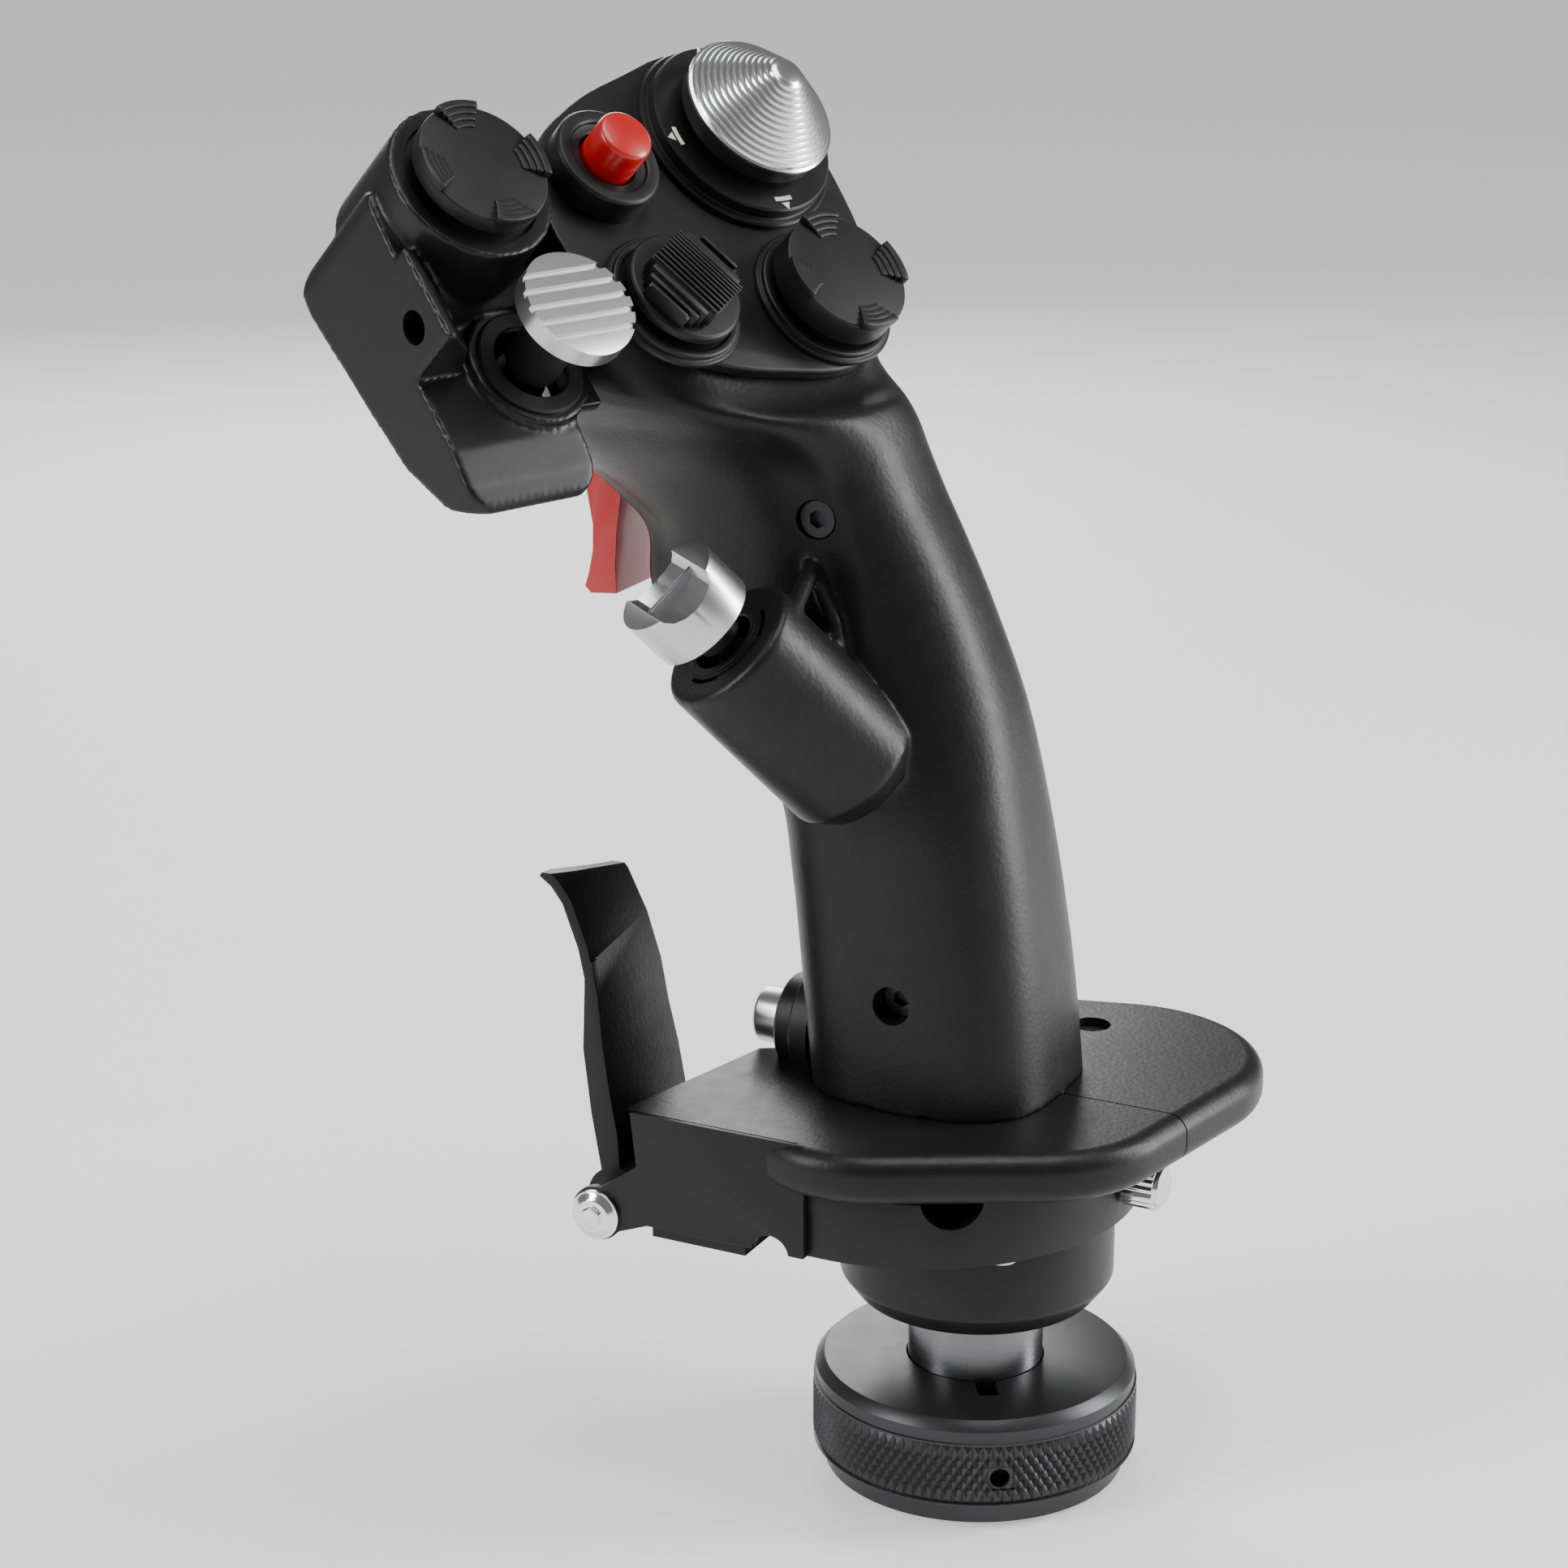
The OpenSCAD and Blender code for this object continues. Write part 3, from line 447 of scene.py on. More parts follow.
def section(row, count):
    """Points round one section of the grip."""
    x, y, z, tilt, twist, depth, left, right, p_left, p_right, share = row
    tilt, twist = math.radians(tilt), math.radians(twist)
    across = Vector((math.cos(twist), -math.sin(twist), 0))
    along = Vector((math.sin(twist) * math.cos(tilt), math.cos(twist) * math.cos(tilt), math.sin(tilt)))
    points = []
    for i in range(count):
        q = math.tau * i / count
        c, s = math.cos(q), math.sin(q)
        half, p = (left, p_left) if c < 0 else (right, p_right)
        a = (1 - share) * half * math.copysign(abs(c) ** (2 / p), c) + share * face_radius(q) * c
        b = (1 - share) * depth * math.copysign(abs(s) ** (2 / p), s) + share * face_radius(q) * s
        points.append(Vector((x, y, z)) + a * across + b * along)
    return points


def skin(name, rings):
    """A closed skin over rings of points."""
    m = len(rings[0])
    faces = [
        (j * m + i, j * m + (i + 1) % m, (j + 1) * m + (i + 1) % m, (j + 1) * m + i)
        for j in range(len(rings) - 1)
        for i in range(m)
    ]
    faces += [range(m), range((len(rings) - 1) * m, len(rings) * m)]
    ob = from_points(name, [p for r in rings for p in r], faces=faces)
    edit(ob, outward)
    return ob


SCREW_HOLES = [(6.4, 78.8), (20.4, 149.3)]
FRONT_BUTTON_Z = 66.4
# Y and Z along the edge of the shallow recess in the grip's left side, for the thumb and trigger
RECESS_EDGE = [
    (60, 168), (46, 168), (36, 167.8), (26, 166.8), (19.5, 162.6), (15.5, 156), (13.3, 148), (12, 140),
    (11, 126),
]
RECESS_DEPTH = 2.3
# Raised edge from its apex down beside the side hat's housing
RIDGE = [
    (-15.0, 21, 142.3), (-16.4, 16.8, 135), (-17.1, 14.4, 126), (-17.2, 13.9, 116), (-16.9, 15.6, 107),
]


def ease(x):
    """0 below 0, 1 above 1 and smooth between."""
    x = min(max(x, 0), 1)
    return x * x * (3 - 2 * x)


def recessed(p):
    """A point of the grip's left side, sunk where it is inside the recess."""
    q = Vector((p.y, p.z))
    best, side = 1e9, 0
    for a, b in zip(RECESS_EDGE, RECESS_EDGE[1:]):
        a, b = Vector(a), Vector(b)
        t = min(max((q - a).dot(b - a) / (b - a).length_squared, 0), 1)
        gap = q - (a + (b - a) * t)
        if gap.length < best:
            # Towards the front and down is inside
            best, side = gap.length, (b - a).x * gap.y - (b - a).y * gap.x
    inside = best if side > 0 else 0
    sunk = RECESS_DEPTH * ease(inside / 7) * ease((-p.x - 8) / 6) * ease((p.z - 126) / 16)
    return Vector((p.x + sunk, p.y, p.z))


def tube_along(name, points, radius):
    """A round rope through points, for raised edges."""
    parts = []
    for a, b in zip(points, points[1:]):
        parts.append(wrapped("rope", [(*a, radius), (*b, radius)]))
    return joined(name, parts)


# Part of the housing's rim that the raised edge leaves from, in degrees about the side hat's axis
RIM_ANGLES = [50, 80, 108, 128]


def boss_rim(angle):
    """A point just inside the rim of the side hat's housing."""
    a = math.radians(angle)
    return seat("side_hat") @ (Vector((9.6 * math.cos(a), 9.6 * math.sin(a), -2)) * MM)


def grip_skin(voxel):
    """Grip body with the side hat's housing and the raised edge beside it."""
    # Rings from one station to the next, and points round each
    steps, around = 5, 96
    rings = [
        [recessed(p) for p in section(station(i / steps), around)]
        for i in range((len(STATIONS) - 1) * steps + 1)
    ]
    body = skin("grip skin", rings)
    side = seat("side_hat")
    boss = turned("boss", [(0, -32), (8, -32), (10.8, -28), (10.8, -0.6), (10.2, 0), (0, 0)], side)
    ridge = tube_along("ridge", [tuple(boss_rim(a) / MM) for a in RIM_ANGLES] + RIDGE, 1.3)
    ob = joined("grip skin", [body, boss, ridge])
    remeshed(ob, voxel, 7)
    cutters = [rod("bore", 5.2, -12, 2, side)]
    # Slots round the side hat's stem
    for turn in range(3):
        place = side @ Matrix.Rotation(turn * math.tau / 3 + 0.4, 4, "Z")
        cutters.append(slab("slot", sector(5.0, 7.2, 24), -1.6, 2, place))
    for y, z in SCREW_HOLES:
        cutters.append(rod("hole", 2.95, -12, 2, along_x(-12, y, z)))
    slot_half = 6
    cutters.append(block("trigger slot", (-slot_half, 53.8, 140), (slot_half, 67.2, 164)))
    cutters.append(rod("seat", 6.1, 0, 30, along_y(0, 10, FRONT_BUTTON_Z)))
    cutters.append(rod("seat", 8.5, 0, 20, along_y(0, 25.1, FRONT_BUTTON_Z)))
    for cutter in cutters:
        carve(ob, cutter, solver="MANIFOLD")
    return smooth(ob, 40)


def sector(r_in, r_out, half_angle, steps=8):
    """Outline of a part of a flat ring, to both sides of the X axis."""
    angles = [math.radians(half_angle) * (2 * i / steps - 1) for i in range(steps + 1)]
    outer = [(r_out * math.cos(a), r_out * math.sin(a)) for a in angles]
    inner = [(r_in * math.cos(a), r_in * math.sin(a)) for a in reversed(angles)]
    return outer + inner


# ---------- controls ----------

def castle_cap(name, hat, low, top, radius=9.8):
    """Round cap with four thumb tabs of stepped arcs at its rim."""
    place = seat(hat)
    deck = top - 1.0
    profile = [
        (0, -5), (1.9, -5), (1.9, low - 0.6), (radius - 1.2, low - 0.6), (radius - 1.2, low),
        (radius, low), (radius, deck - 0.2), (radius - 0.2, deck), (0, deck),
    ]
    parts = [turned(name, profile, place)]
    for tab in range(4):
        turn = place @ Matrix.Rotation(tab * math.pi / 2, 4, "Z")
        for step in range(4):
            r_out = radius + 0.25 - 0.95 * step
            outline = sector(r_out - 1.1, r_out, 20 - 1.6 * step)
            parts.append(slab("tab", outline, deck - 0.4, top - 0.24 * step, turn))
    ob = joined(name, parts)
    return smooth(round_edges(ob, 0.13, 2), 30)


def bezel(name, place, radius, height):
    """Stepped ring that stands on the surface round a hat."""
    profile = [
        (4.8, 0), (radius, 0), (radius, height * 0.42), (radius - 0.25, height * 0.52),
        (radius - 0.75, height * 0.52), (radius - 0.75, height * 0.9), (radius - 0.95, height),
        (radius - 1.7, height), (radius - 1.95, height - 0.35), (4.8, height - 0.35), (4.8, 0),
    ]
    return smooth(round_edges(turned(name, profile, place), 0.1, 2), 30)


def trim_cone(place, radius=11.8, low=7.7, top=16.4):
    """Ribbed metal cone with a flat tip."""
    ridges, tip = 13, 2.1
    profile = [(0, low), (radius - 0.5, low), (radius, low + 0.25), (radius, low + 0.7)]
    rise = (top - low - 1.0) / ridges
    run = (radius - 0.5 - tip) / ridges
    for i in range(ridges):
        r, h = radius - 0.4 - run * i, low + 0.9 + rise * i
        profile += [(r, h), (r - run * 0.22, h + rise * 0.62), (r - run * 0.72, h + rise * 0.72)]
    profile += [(tip, top - 0.1), (tip - 0.3, top), (0, top)]
    return smooth(turned("trim hat cone", profile, place, 128), 30)


def ribbed_cap(place):
    """Skirt disc with a ribbed block between two stepped wings."""
    turn = place @ Matrix.Rotation(math.radians(26), 4, "Z")
    skirt = [(0, -5), (1.9, -5), (1.9, 2.6), (7.6, 2.6), (8.8, 3), (8.8, 4.2), (8.4, 4.5), (0, 4.5)]
    parts = [turned("ribbed hat", skirt, place)]
    # A waisted foot joins the block to the skirt
    sides = [(-4.2, -4.6), (0, -3.2), (4.2, -4.6), (4.2, 4.6), (0, 3.2), (-4.2, 4.6)]
    parts.append(slab("block", sides, 4.2, 5.4, turn))
    parts.append(slab("block", [(-4.0, -6.0), (4.0, -6.0), (4.0, 6.0), (-4.0, 6.0)], 5.0, 7.6, turn))
    ribs = 10
    for i in range(ribs):
        x = -3.6 + 7.2 * i / (ribs - 1)
        parts.append(block("rib", (x - 0.22, -5.9, 7.4), (x + 0.22, 5.9, 8.45 - 0.035 * x * x), turn))
    for end in (-1, 1):
        for reach, wide, top in ((5.2, 5.0, 7.5), (6.2, 4.4, 6.9), (7.4, 3.6, 6.4)):
            x0, x1 = sorted((end * 3.8, end * reach))
            parts.append(block("wing", (x0, -wide, 4.3), (x1, wide, top), turn))
        x0, x1 = sorted((end * 7.0, end * 7.6))
        parts.append(block("lip", (x0, -3.2, 4.3), (x1, 3.2, 7.0), turn))
    return smooth(round_edges(joined("ribbed hat", parts), 0.12, 2), 30)


def disc_cap(place):
    """Metal disc with a crowned top and deep grooves across it."""
    radius, low, edge = 8.4, 11.6, 14.2
    grooves = [-5.0, -2.5, 0, 2.5, 5.0]

    def crowned(v):
        return edge + 1.15 * math.sqrt(1 - (v / 9.5) ** 2)

    outline, v, stride = [], -radius, 0.4
    while v <= radius + 1e-6:
        outline.append((v, crowned(v)))
        v += stride
    blank = [(0, low), (radius - 0.5, low), (radius, low + 0.5), (radius, 16), (0, 16)]
    cap = turned("disc hat", blank, place)
    crown = [(-12, 20), (-12, edge), *outline, (12, edge), (12, 20)]
    # The crown runs along U, so its section is drawn in V and the height
    frame_uv = place @ Matrix(((0, 0, 1, 0), (1, 0, 0, 0), (0, 1, 0, 0), (0, 0, 0, 1)))
    carve(cap, slab("crown", crown, -12, 12, frame_uv))
    for v in grooves:
        z = crowned(v) - 0.75
        section_points = [(v - 0.35, z), (v + 0.5, z), (v + 0.62, z + 3), (v - 0.62, z + 3)]
        carve(cap, slab("groove", section_points, -12, 12, frame_uv))
    return smooth(cap, 25)


def side_cap(place, radius=7.9):
    """Metal cap with a thumb hollow between two lips and a thin rib across it."""
    blank = [(0, 4.6), (radius - 0.4, 4.6), (radius, 5), (radius, 12.9), (0, 12.9)]
    cap = turned("side hat", blank, place)
    hollow = [
        (-4.9, 13.6), (-4.5, 12.4), (-3.6, 11.4), (-2, 10.9), (0, 10.7), (2, 10.9), (3.6, 11.4),
        (4.5, 12.4), (4.9, 13.6),
    ]
    stand = place @ Matrix.Rotation(math.pi / 2, 4, "X")
    carve(cap, slab("hollow", hollow, -10, 10, stand))
    cap = joined("side hat", [cap, block("rib", (-5.2, -0.45, 10), (5.2, 0.45, 12.1), place)])
    return smooth(round_edges(cap, 0.3, 3, 30), 30)


# Directions of the lock ring's spanner hole and of the slot in its top
HOLE_TURN = math.radians(213)
SLOT_TURN = math.radians(212)


def knurled_ring():
    """Lock ring with a band of diamond knurling."""
    low, high, radius, peaks = 3.7, 13.4, 24.45, 100
    row_height, peak_height, hole_height = 1.15, 0.5, 8
    rows = 2 * round((high - low) / row_height / 2) + 1
    points, faces = [], []
    for j in range(rows):
        for k in range(2 * peaks):
            a = math.pi * k / peaks
            edge = j in (0, rows - 1)
            r = radius + (peak_height if (j + k) % 2 and not edge else 0)
            points.append((r * math.cos(a), r * math.sin(a), low + (high - low) * j / (rows - 1)))
    n = 2 * peaks
    for j in range(rows - 1):
        for k in range(n):
            a, b = j * n + k, j * n + (k + 1) % n
            c, d = a + n, b + n
            faces += [(a, b, d), (a, d, c)] if (j + k) % 2 else [(a, b, c), (b, d, c)]
    # The band is open round the spanner hole
    hole_at = Vector((radius * math.cos(HOLE_TURN), radius * math.sin(HOLE_TURN), hole_height))
    faces = [f for f in faces if min((Vector(points[i]) - hole_at).length for i in f) > 1.6]
    band = from_points("knurl", points, faces=faces)
    edit(band, outward)
    body = [
        (17.0, 0), (23.1, 0), (23.1, 2.6), (24.5, 3.3), (24.9, 3.5), (24.9, 3.8), (24.4, 3.9), (24.4, 13.3),
        (24.9, 13.4), (24.9, 13.7), (24.6, 13.8), (24.6, 15.6), (23.2, 17), (10.6, 17), (10.6, 13),
        (17.6, 13), (17.6, 9), (17, 9), (17, 0),
    ]
    ring_body = turned("lock ring", body, steps=160)
    slot = Matrix.Rotation(SLOT_TURN, 4, "Z")
    hole = Matrix.Rotation(HOLE_TURN, 4, "Z") @ along_x(21, 0, hole_height)
    carve(ring_body, block("slot", (9, -1.6, 12), (15.2, 1.6, 20), slot))
    carve(ring_body, rod("hole", 1.5, 0, 6, hole))
    round_edges(ring_body, 0.15, 2, 25)
    ob = joined("lock ring", [band, ring_body])
    return smooth(ob, 22)


def palm_rest():
    """Thick plate with a bull-nosed rim and a plain front block."""
    low, high = 54.5, 62.2
    corners = ((-17.5, 9, 20), (-5, -10, 22), (19.8, -14, 22.6), (18, 10, 18))
    points = [
        (x + r * math.cos(math.radians(a)), y + r * math.sin(math.radians(a)), z)
        for x, y, r in corners
        for a in range(0, 360, 4)
        for z in (low, high)
    ]
    rim = from_points("palm rest", points)
    edit(
        rim,
        bpy.ops.mesh.convex_hull,
        lambda: bpy.ops.mesh.dissolve_limited(angle_limit=math.radians(1)),
        outward,
    )
    round_edges(rim, 2.9, 8, 60)
    # A little thinner than the plate, because a union of faces in one plane loses some
    inset = 0.03
    plan = [(-33.8, 9), (-33.8, 40.9), (-4.6, 34.4), (-2, 29.8), (20, 27.5), (20, 9)]
    front = slab("front", plan, low + inset, high - inset)
    round_edges(front, 0.8, 3, 40)
    carve(rim, front, operation="UNION")
    carve(rim, block("seam", (-0.14, -60, 50), (0.14, -4, 70)))
    for x, y in ((28.1, -6.6), (28, 18)):
        place = Matrix.Translation(Vector((x, y, 0)) * MM)
        carve(rim, rod("counterbore", 3, 59.1, 64, place))
    carve(rim, rod("room", 4.6, 0, 30, along_y(0, 10, FRONT_BUTTON_Z)))
    return smooth(rim, 32)


def knob():
    """Small thumb knob with a toothed grip."""
    teeth = 22
    outline = []
    for i in range(teeth * 2):
        a = math.tau * i / (teeth * 2)
        r = 3.8 if i % 2 else 3.45
        outline.append((r * math.cos(a), r * math.sin(a)))
    place = along_y(0, -24.4, 50.4) @ Matrix.Rotation(math.pi, 4, "X")
    head = slab("thumb knob", outline, 0, 5, place)
    cap = turned("cap", [(0, 4.9), (3.3, 4.9), (3.0, 5.7), (0, 5.7)], place, 48)
    return smooth(round_edges(joined("thumb knob", [head, cap]), 0.12, 2, 40), 30)


def arc_mark(name, place, radius, angle, width=0.7, spread=7):
    """A generic printed bar on a flange, and a triangle that points outwards beside it."""
    ink = 0.03
    turn = place @ Matrix.Rotation(math.radians(angle), 4, "Z")
    bar = slab(name, sector(radius - width / 2, radius + width / 2, spread), 0, ink, turn)
    arrow = slab(name, [(radius + 0.7, -0.75), (radius + 1.9, 0), (radius + 0.7, 0.75)], 0, ink, turn)
    return joined(name, [bar, arrow])


def pod_skin(voxel):
    """Pod body with its turret, the lobe round the disc hat, the outer wall and the neck."""
    profile = [
        (-2.2, -4.5), (-2.2, -20.5), (0.7, -23.6), (4.4, -24.1), (22, -22.4), (32, -21.2), (40.8, -17.5),
        (44.8, -13.8), (44.2, -12.4), (41.5, -11.4), (36, -10.4), (28, -10.2), (17.5, -10.2), (12, -2.5),
        (0, -1.5),
    ]
    # X runs down the pod, Y out of the face and Z to the left
    down = HEAD @ Matrix(((0, 0, -1, 0), (-1, 0, 0, 0), (0, 1, 0, 0), (0, 0, 0, 1)))
    body = slab("pod skin", profile, 43.6, 66, down)
    plan, corner = [], 4.5
    for x, y, start in ((-48.1, -2.3, 0), (-61.5, -2.3, 90), (-61.5, -40.3, 180), (-48.1, -40.3, 270)):
        for step in range(9):
            a = math.radians(start + 90 * step / 8)
            plan.append((x + corner * math.cos(a), y + corner * math.sin(a)))
    carve(body, slab("plan", plan, -40, 10, HEAD), "INTERSECT", "MANIFOLD")
    wall = [(-66, -12), (-66, 0), (-64.6, 0), (-60.2, -4.4), (-57.4, -12)]
    back = HEAD @ Matrix(((1, 0, 0, 0), (0, 0, -1, 0), (0, 1, 0, 0), (0, 0, 0, 1)))
    turret, disc = in_head(*LEFT_HAT), in_head(*DISC_HAT)
    neck = in_head(0, -13.5, -14) @ Matrix.Rotation(-math.pi / 2, 4, "Y")
    parts = [
        body,
        rod("turret", 12.4, -14, 3.5, turret, 96),
        turned("lobe", [(0, -16), (9.9, -16), (9.4, -9), (0, -9)], disc),
        slab("wall", wall, 10, 24.5, back),
        rod("neck", 5.55, 34, 46, neck),
    ]
    ob = remeshed(joined("pod skin", parts), voxel, 9)
    carve(ob, rod("bore", 10.2, -12, 8, turret, 96), solver="MANIFOLD")
    carve(ob, rod("bore", 7.2, -20, 2, disc), solver="MANIFOLD")
    screw = HEAD @ along_x(-70, -19.1, -5.6)
    carve(ob, rod("hole", 2.4, 0, 9, screw), solver="MANIFOLD")
    shelf = round_edges(block("shelf", (-45, -33.5, -11.1), (-39, -19.5, -9.1), HEAD), 0.3)
    return smooth(joined("pod skin", [ob, shelf]), 40)


# ---------- add-on ----------

class GripLooks(bpy.types.PropertyGroup):
    """Sizes and colours a user would change."""

    grip_color: bpy.props.FloatVectorProperty(
        name="Grip Colour", description="Colour of the moulded black plastic", subtype="COLOR",
        default=(0.006, 0.006, 0.0063), min=0, max=1)
    red_color: bpy.props.FloatVectorProperty(
        name="Red Colour", description="Colour of the trigger and the red button", subtype="COLOR",
        default=(0.42, 0.001, 0.003), min=0, max=1)
    grip_roughness: bpy.props.FloatProperty(
        name="Grip Roughness", description="Roughness of the moulded black plastic", subtype="FACTOR",
        default=0.4, min=0, max=1)
    edge_width: bpy.props.FloatProperty(
        name="Edge Rounding", description="Rounding of the machined and moulded edges, in millimetres",
        default=0.3, min=0.05, max=1)
    skin_voxel: bpy.props.FloatProperty(
        name="Skin Detail", description="Cell size of the moulded skins, in millimetres",
        default=0.55, min=0.4, max=2)


class GRIP_OT_finishes(bpy.types.Operator):
    """Makes the materials"""

    bl_idname = "grip.finishes"
    bl_label = "Finishes"

    def execute(self, context):
        FINISH.update(finishes())
        return {"FINISHED"}


class GRIP_OT_grip(bpy.types.Operator):
    """Models the grip's skin and the side hat's housing"""

    bl_idname = "grip.grip"
    bl_label = "Grip"

    def execute(self, context):
        size = context.scene.grip_looks
        finish(grip_skin(size.skin_voxel), "grip", "grip_black", FINISH["grip_black"],
               "grip_left_shell", "grip_right_shell", "side_hat_housing")
        finish(bezel("side hat ring", seat("side_hat"), 6.6, 0.5), "grip", "smooth_black",
               FINISH["smooth_black"], "side_hat_bezel")
        return {"FINISHED"}


class GRIP_OT_pod(bpy.types.Operator):
    """Models the pod on the head's left side"""

    bl_idname = "grip.pod"
    bl_label = "Pod"

    def execute(self, context):
        size = context.scene.grip_looks
        finish(pod_skin(size.skin_voxel * 0.8), "grip", "grip_black", FINISH["pod_black"],
               "pod_shell", "pod_cover")
        collar = [(5.6, 0), (8.2, 0), (8.2, 0.4), (7.9, 0.8), (5.9, 0.8), (5.6, 0.5), (5.6, 0)]
        finish(smooth(turned("disc hat collar", collar, seat("disc_hat"))), "grip", "control_black",
               FINISH["control_black"], "disc_hat_collar")
        return {"FINISHED"}


class GRIP_OT_face(bpy.types.Operator):
    """Models the face plate and the rings that stand on it"""

    bl_idname = "grip.face"
    bl_label = "Face"

    def execute(self, context):
        size = context.scene.grip_looks
        finish(softened("face plate", "face_plate", 0.5, 4), "grip", "smooth_black", FINISH["smooth_black"],
               "face_plate")
        for hat, radius in (("right_hat", 11.3), ("ribbed_hat", 10.8)):
            finish(bezel(hat + " ring", seat(hat), radius, 1.7), "grip", "control_black",
                   FINISH["control_black"], hat + "_bezel")
        flange = [
            (5.2, 0), (15.8, 0), (15.8, 0.9), (15.5, 1.2), (14.9, 1.2), (14.7, 1.4), (14.7, 3.0),
            (14.4, 3.3), (5.2, 3.3), (5.2, 0),
        ]
        finish(smooth(turned("trim hat flange", flange, HEAD), 30), "grip", "smooth_black",
               FINISH["smooth_black"], "trim_flange")
        collar = [
            (4.45, 0), (8.2, 0), (8.2, 4.3), (7.8, 4.7), (6.2, 4.7), (5.9, 4.4), (5.9, 4.1), (4.7, 4.1),
            (4.45, 3.9), (4.45, 0),
        ]
        seat_ring = round_edges(turned("red button collar", collar, in_head(*RED_BUTTON)), 0.12, 2)
        finish(smooth(seat_ring, 30), "grip", "control_black", FINISH["control_black"], "red_button_collar")
        flange_top = in_head(0, 0, 3.3)
        marks = [arc_mark("flange mark", flange_top, 12.7, angle) for angle in (0, 90, 180, 270)]
        finish(joined("flange marks", marks), "grip", None, FINISH["print_white"])
        return {"FINISHED"}


class GRIP_OT_hats(bpy.types.Operator):
    """Models the caps of the six hats"""

    bl_idname = "grip.hats"
    bl_label = "Hats"

    def execute(self, context):
        for hat, low, top in (("right_hat", 3.2, 8.4), ("left_hat", 1.6, 5.0)):
            finish(castle_cap(hat.replace("_", " "), hat, low, top), hat, "control_black",
                   FINISH["control_black"], hat)
        finish(trim_cone(HEAD), "trim_hat", "silver", FINISH["ribbed_silver"], "trim_hat")
        skirt = [(0, -5), (1.9, -5), (1.9, 5), (11, 5), (11.3, 5.3), (11.3, 7.7), (0, 7.7)]
        finish(smooth(turned("trim hat skirt", skirt, HEAD), 30), "trim_hat", "grip_black",
               FINISH["control_black"], "trim_hat_skirt")
        finish(ribbed_cap(seat("ribbed_hat")), "ribbed_hat", "control_black", FINISH["control_black"],
               "ribbed_hat")
        finish(disc_cap(seat("disc_hat")), "disc_hat", "silver", FINISH["silver"], "disc_hat")
        stem = [(0, -5), (1.9, -5), (1.9, 0.4), (4, 0.4), (4, 11.7), (0, 11.7)]
        finish(smooth(turned("disc hat stem", stem, seat("disc_hat"), 64), 30), "disc_hat", "control_black",
               FINISH["control_black"])
        finish(side_cap(seat("side_hat")), "side_hat", "silver", FINISH["silver"], "side_hat")
        stem = [(0, -5), (1.9, -5), (1.9, 1.2), (3.4, 1.2), (3.4, 4.7), (0, 4.7)]
        finish(smooth(turned("side hat stem", stem, seat("side_hat"), 64), 30), "side_hat", "control_black",
               FINISH["control_black"])
        return {"FINISHED"}


class GRIP_OT_buttons(bpy.types.Operator):
    """Models the buttons and the trigger"""

    bl_idname = "grip.buttons"
    bl_label = "Buttons"

    def execute(self, context):
        red = [(0, -5.4), (4.15, -5.4), (4.15, 9.1), (3.95, 9.6), (3.5, 9.8), (0, 9.85)]
        cap = round_edges(turned("red button", red, in_head(*RED_BUTTON)), 0.2, 3)
        finish(smooth(cap, 40), "red_button", "control_red", FINISH["control_red"], "red_button")
        front = [(0, 20), (4.35, 20), (4.35, 36), (3.9, 36.5), (0, 36.5)]
        finish(smooth(round_edges(turned("front button", front, along_y(0, 0, FRONT_BUTTON_Z)), 0.2), 40),
               "front_button", "silver", FINISH["silver"], "front_button")
        collar = [
            (4.6, 18), (6, 18), (6, 25.2), (8.4, 25.2), (8.4, 28), (8, 28.4), (7.2, 28.4), (7.2, 31),
            (6.8, 31.4), (4.6, 31.4), (4.6, 18),
        ]
        finish(smooth(turned("front button collar", collar, along_y(0, 0, FRONT_BUTTON_Z)), 30), "grip",
               "control_black", FINISH["control_black"], "front_button_collar")
        finish(softened("trigger lever", "trigger", 1.5, 6), "trigger", "control_red", FINISH["control_red"],
               "trigger")
        return {"FINISHED"}


class GRIP_OT_base(bpy.types.Operator):
    """Models the palm rest, the base housing and the paddle"""

    bl_idname = "grip.base"
    bl_label = "Base"

    def execute(self, context):
        edge = context.scene.grip_looks.edge_width
        finish(palm_rest(), "grip", "grip_black", FINISH["grip_black"],
               "palm_rest_left", "palm_rest_right")
        for node, body, width in (
            ("base_housing", "grip", 2.2 * edge),
            ("outer_ear_plate", "grip", edge),
            ("inner_ear_plate", "grip", edge),
            ("neck_collar", "grip", 1.5 * edge),
            ("connector_shaft", "grip", edge),
            ("paddle_lever", "paddle", 1.4 * edge),
        ):
            slot = SLOTS[node]
            finish(softened(node.replace("_", " "), node, width), body, slot, FINISH[slot], node)
        finish(softened("axle caps", "axle_caps", 0.7 * edge), "grip", "silver", FINISH["chrome"],
               "axle_caps")
        finish(knob(), "thumb_knob", "silver", FINISH["chrome"], "thumb_knob")
        return {"FINISHED"}


class GRIP_OT_lock_ring(bpy.types.Operator):
    """Models the knurled lock ring"""

    bl_idname = "grip.lock_ring"
    bl_label = "Lock Ring"

    def execute(self, context):
        finish(knurled_ring(), "lock_ring", "ring_black", FINISH["ring_black"], "lock_ring")
        return {"FINISHED"}


class GRIP_OT_carried(bpy.types.Operator):
    """Gives the remaining frame nodes their materials"""

    bl_idname = "grip.carried"
    bl_label = "Carried Nodes"

    def execute(self, context):
        for node, slot in SLOTS.items():
            mesh = frame["nodes"][node].data
            mesh.materials.clear()
            # Parts in dark recesses take the black anodised finish instead of their slot's, as painted shade
            mesh.materials.append(FINISH["ring_black" if node in RECESS_SHADE_PARTS else slot])
        return {"FINISHED"}


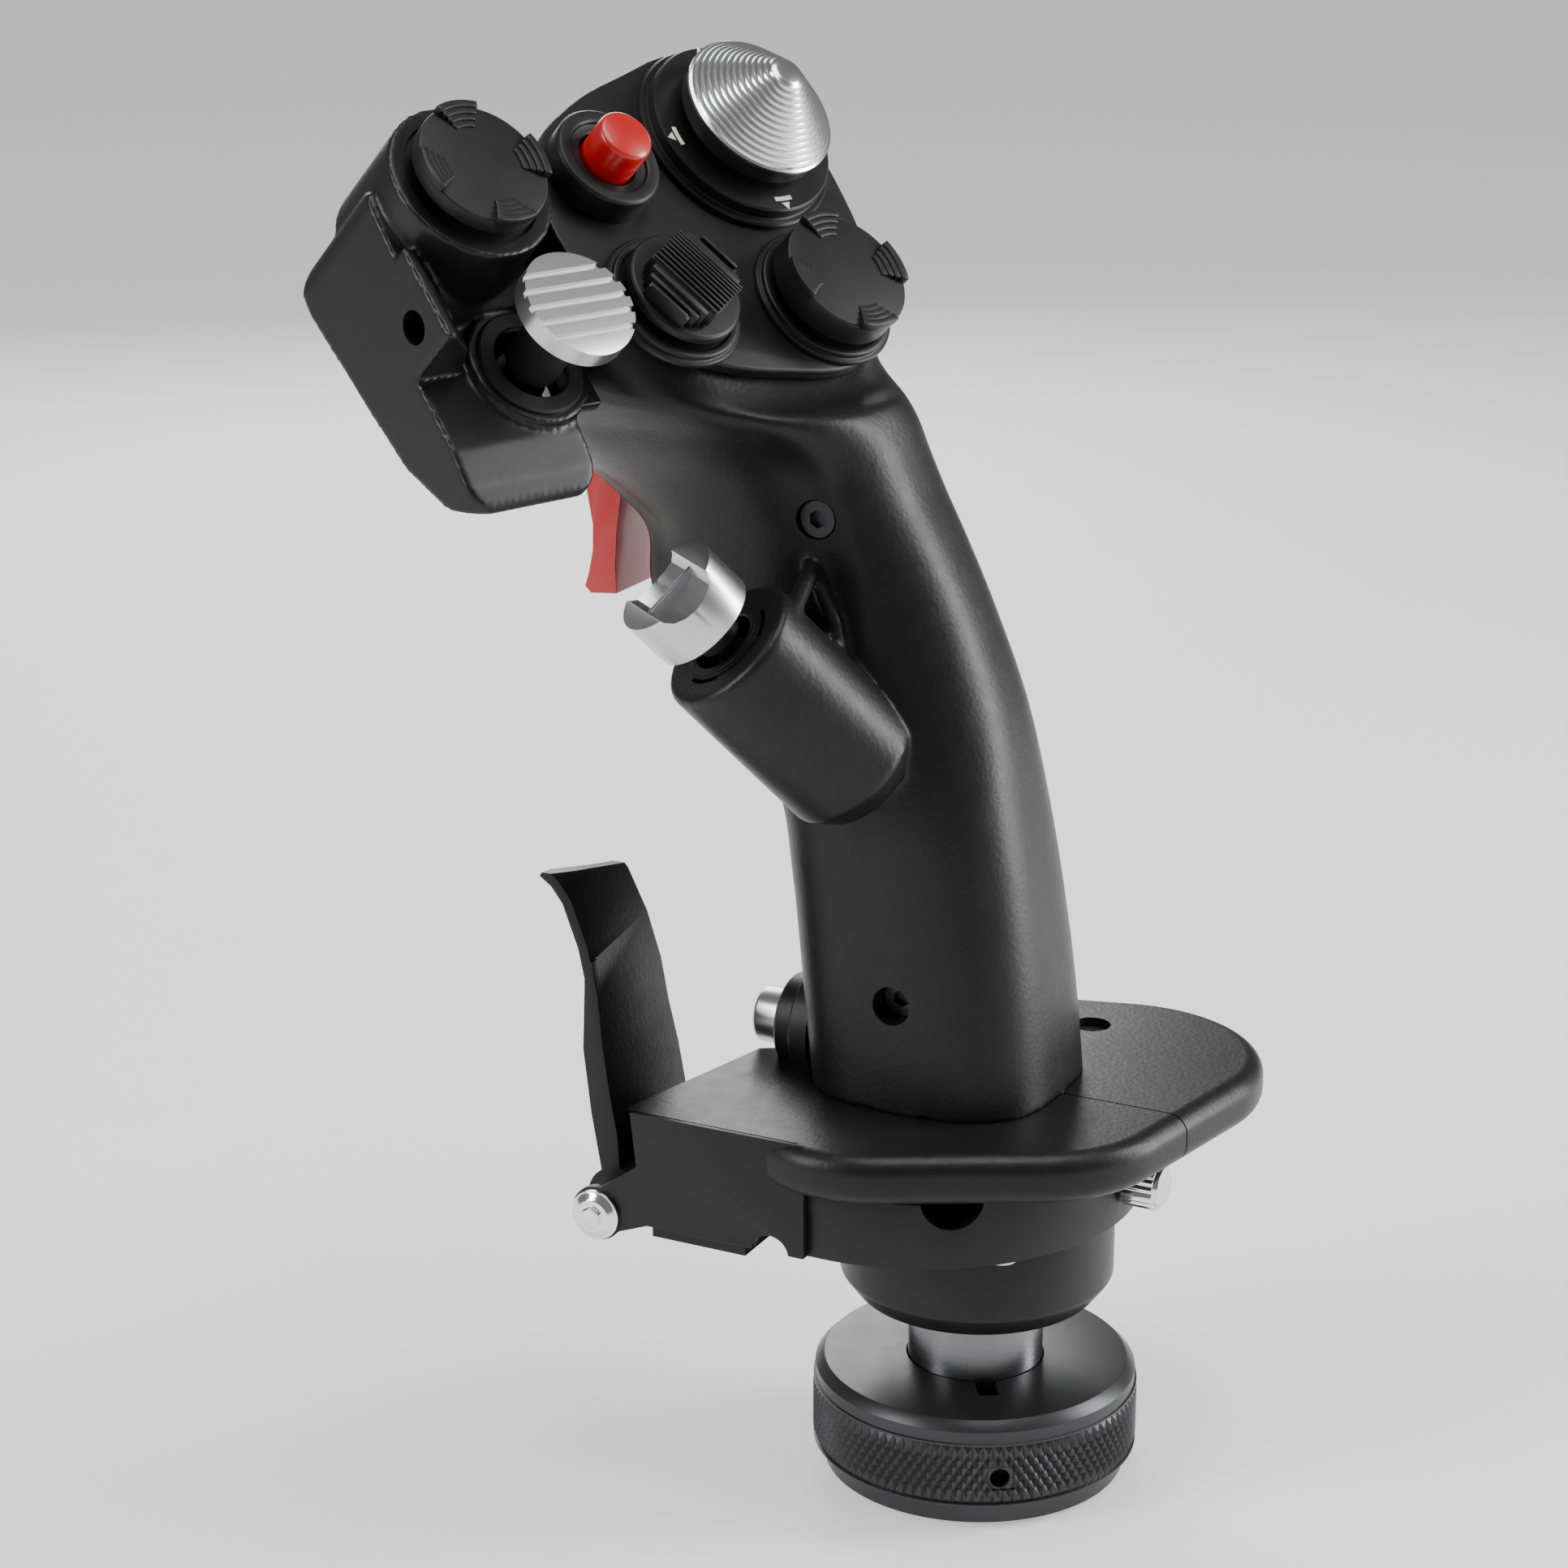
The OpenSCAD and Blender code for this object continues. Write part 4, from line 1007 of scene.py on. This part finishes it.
def aimed(kind, name, place, target, **settings):
    """A light or camera at a place in metres, aimed at a target."""
    data = bpy.data.cameras.new(name) if kind == "CAMERA" else bpy.data.lights.new(name, kind)
    for key, value in settings.items():
        setattr(data, key, value)
    ob = bpy.data.objects.new(name, data)
    bpy.context.scene.collection.objects.link(ob)
    ob.location = place
    ob.rotation_euler = (Vector(target) - Vector(place)).to_track_quat("-Z", "Y").to_euler()
    return ob


class GRIP_OT_stage(bpy.types.Operator):
    """Sets the floor, the lights and the camera"""

    bl_idname = "grip.stage"
    bl_label = "Stage"

    def execute(self, context):
        scene = context.scene
        reach = 3000
        floor = block("floor", (-reach, -reach, -12), (reach, reach, -0.6))
        pale = Paint("pale floor", (0.6, 0.6, 0.6), 0.7)
        pale.feed("Roughness", pale.noise(40, 2) * 0.1 + 0.65)
        pale.shader.inputs["Emission Color"].default_value = (1, 1, 1, 1)
        pale.shader.inputs["Emission Strength"].default_value = 0.55
        floor.data.materials.append(pale.material)
        world = bpy.data.worlds.new("studio")
        world.use_nodes = True
        background = next(n for n in world.node_tree.nodes if n.type == "BACKGROUND")
        background.inputs["Color"].default_value = (1, 1, 1, 1)
        background.inputs["Strength"].default_value = 0.2
        scene.world = world
        middle, higher = (0.0, 0.02, 0.12), (0, 0.03, 0.14)
        lights = [
            # Long soft boxes on both sides, and square ones above and behind
            aimed("AREA", "right box", (0.42, -0.62, 0.34), middle,
                  energy=10, shape="RECTANGLE", size=0.22, size_y=0.7),
            aimed("AREA", "left box", (-0.62, 0.5, 0.5), higher,
                  energy=6, shape="RECTANGLE", size=0.25, size_y=0.6),
            aimed("AREA", "top box", (-0.05, -0.1, 0.85), middle, energy=4, size=0.45),
            aimed("AREA", "back box", (0.65, 0.5, 0.45), middle, energy=5, size=0.5),
        ]
        eye, beyond = (-0.4753, -0.2071, 0.2728), (0.3755, 0.2227, -0.0296)
        camera = aimed("CAMERA", "camera", eye, beyond, lens=84.99, sensor_width=36, clip_start=0.01)
        scene.camera = camera
        return {"FINISHED"}


OPERATORS = [
    GRIP_OT_finishes, GRIP_OT_grip, GRIP_OT_pod, GRIP_OT_face, GRIP_OT_hats, GRIP_OT_buttons, GRIP_OT_base,
    GRIP_OT_lock_ring, GRIP_OT_carried, GRIP_OT_stage,
]


class GRIP_PT_looks(bpy.types.Panel):
    """Sizes, colours and steps of the flight grip"""

    bl_label = "Flight Grip"
    bl_space_type = "VIEW_3D"
    bl_region_type = "UI"
    bl_category = "Flight Grip"

    def draw(self, context):
        looks = context.scene.grip_looks
        for name in GripLooks.__annotations__:
            self.layout.prop(looks, name)
        for operator in OPERATORS:
            self.layout.operator(operator.bl_idname)


CLASSES = [GripLooks, *OPERATORS, GRIP_PT_looks]


def register():
    for cls in CLASSES:
        bpy.utils.register_class(cls)
    bpy.types.Scene.grip_looks = bpy.props.PointerProperty(type=GripLooks)


def unregister():
    del bpy.types.Scene.grip_looks
    for cls in reversed(CLASSES):
        bpy.utils.unregister_class(cls)


def main():
    register()
    for operator in OPERATORS:
        group, step = operator.bl_idname.split(".")
        getattr(getattr(bpy.ops, group), step)()


if __name__ == "__main__":
    main()
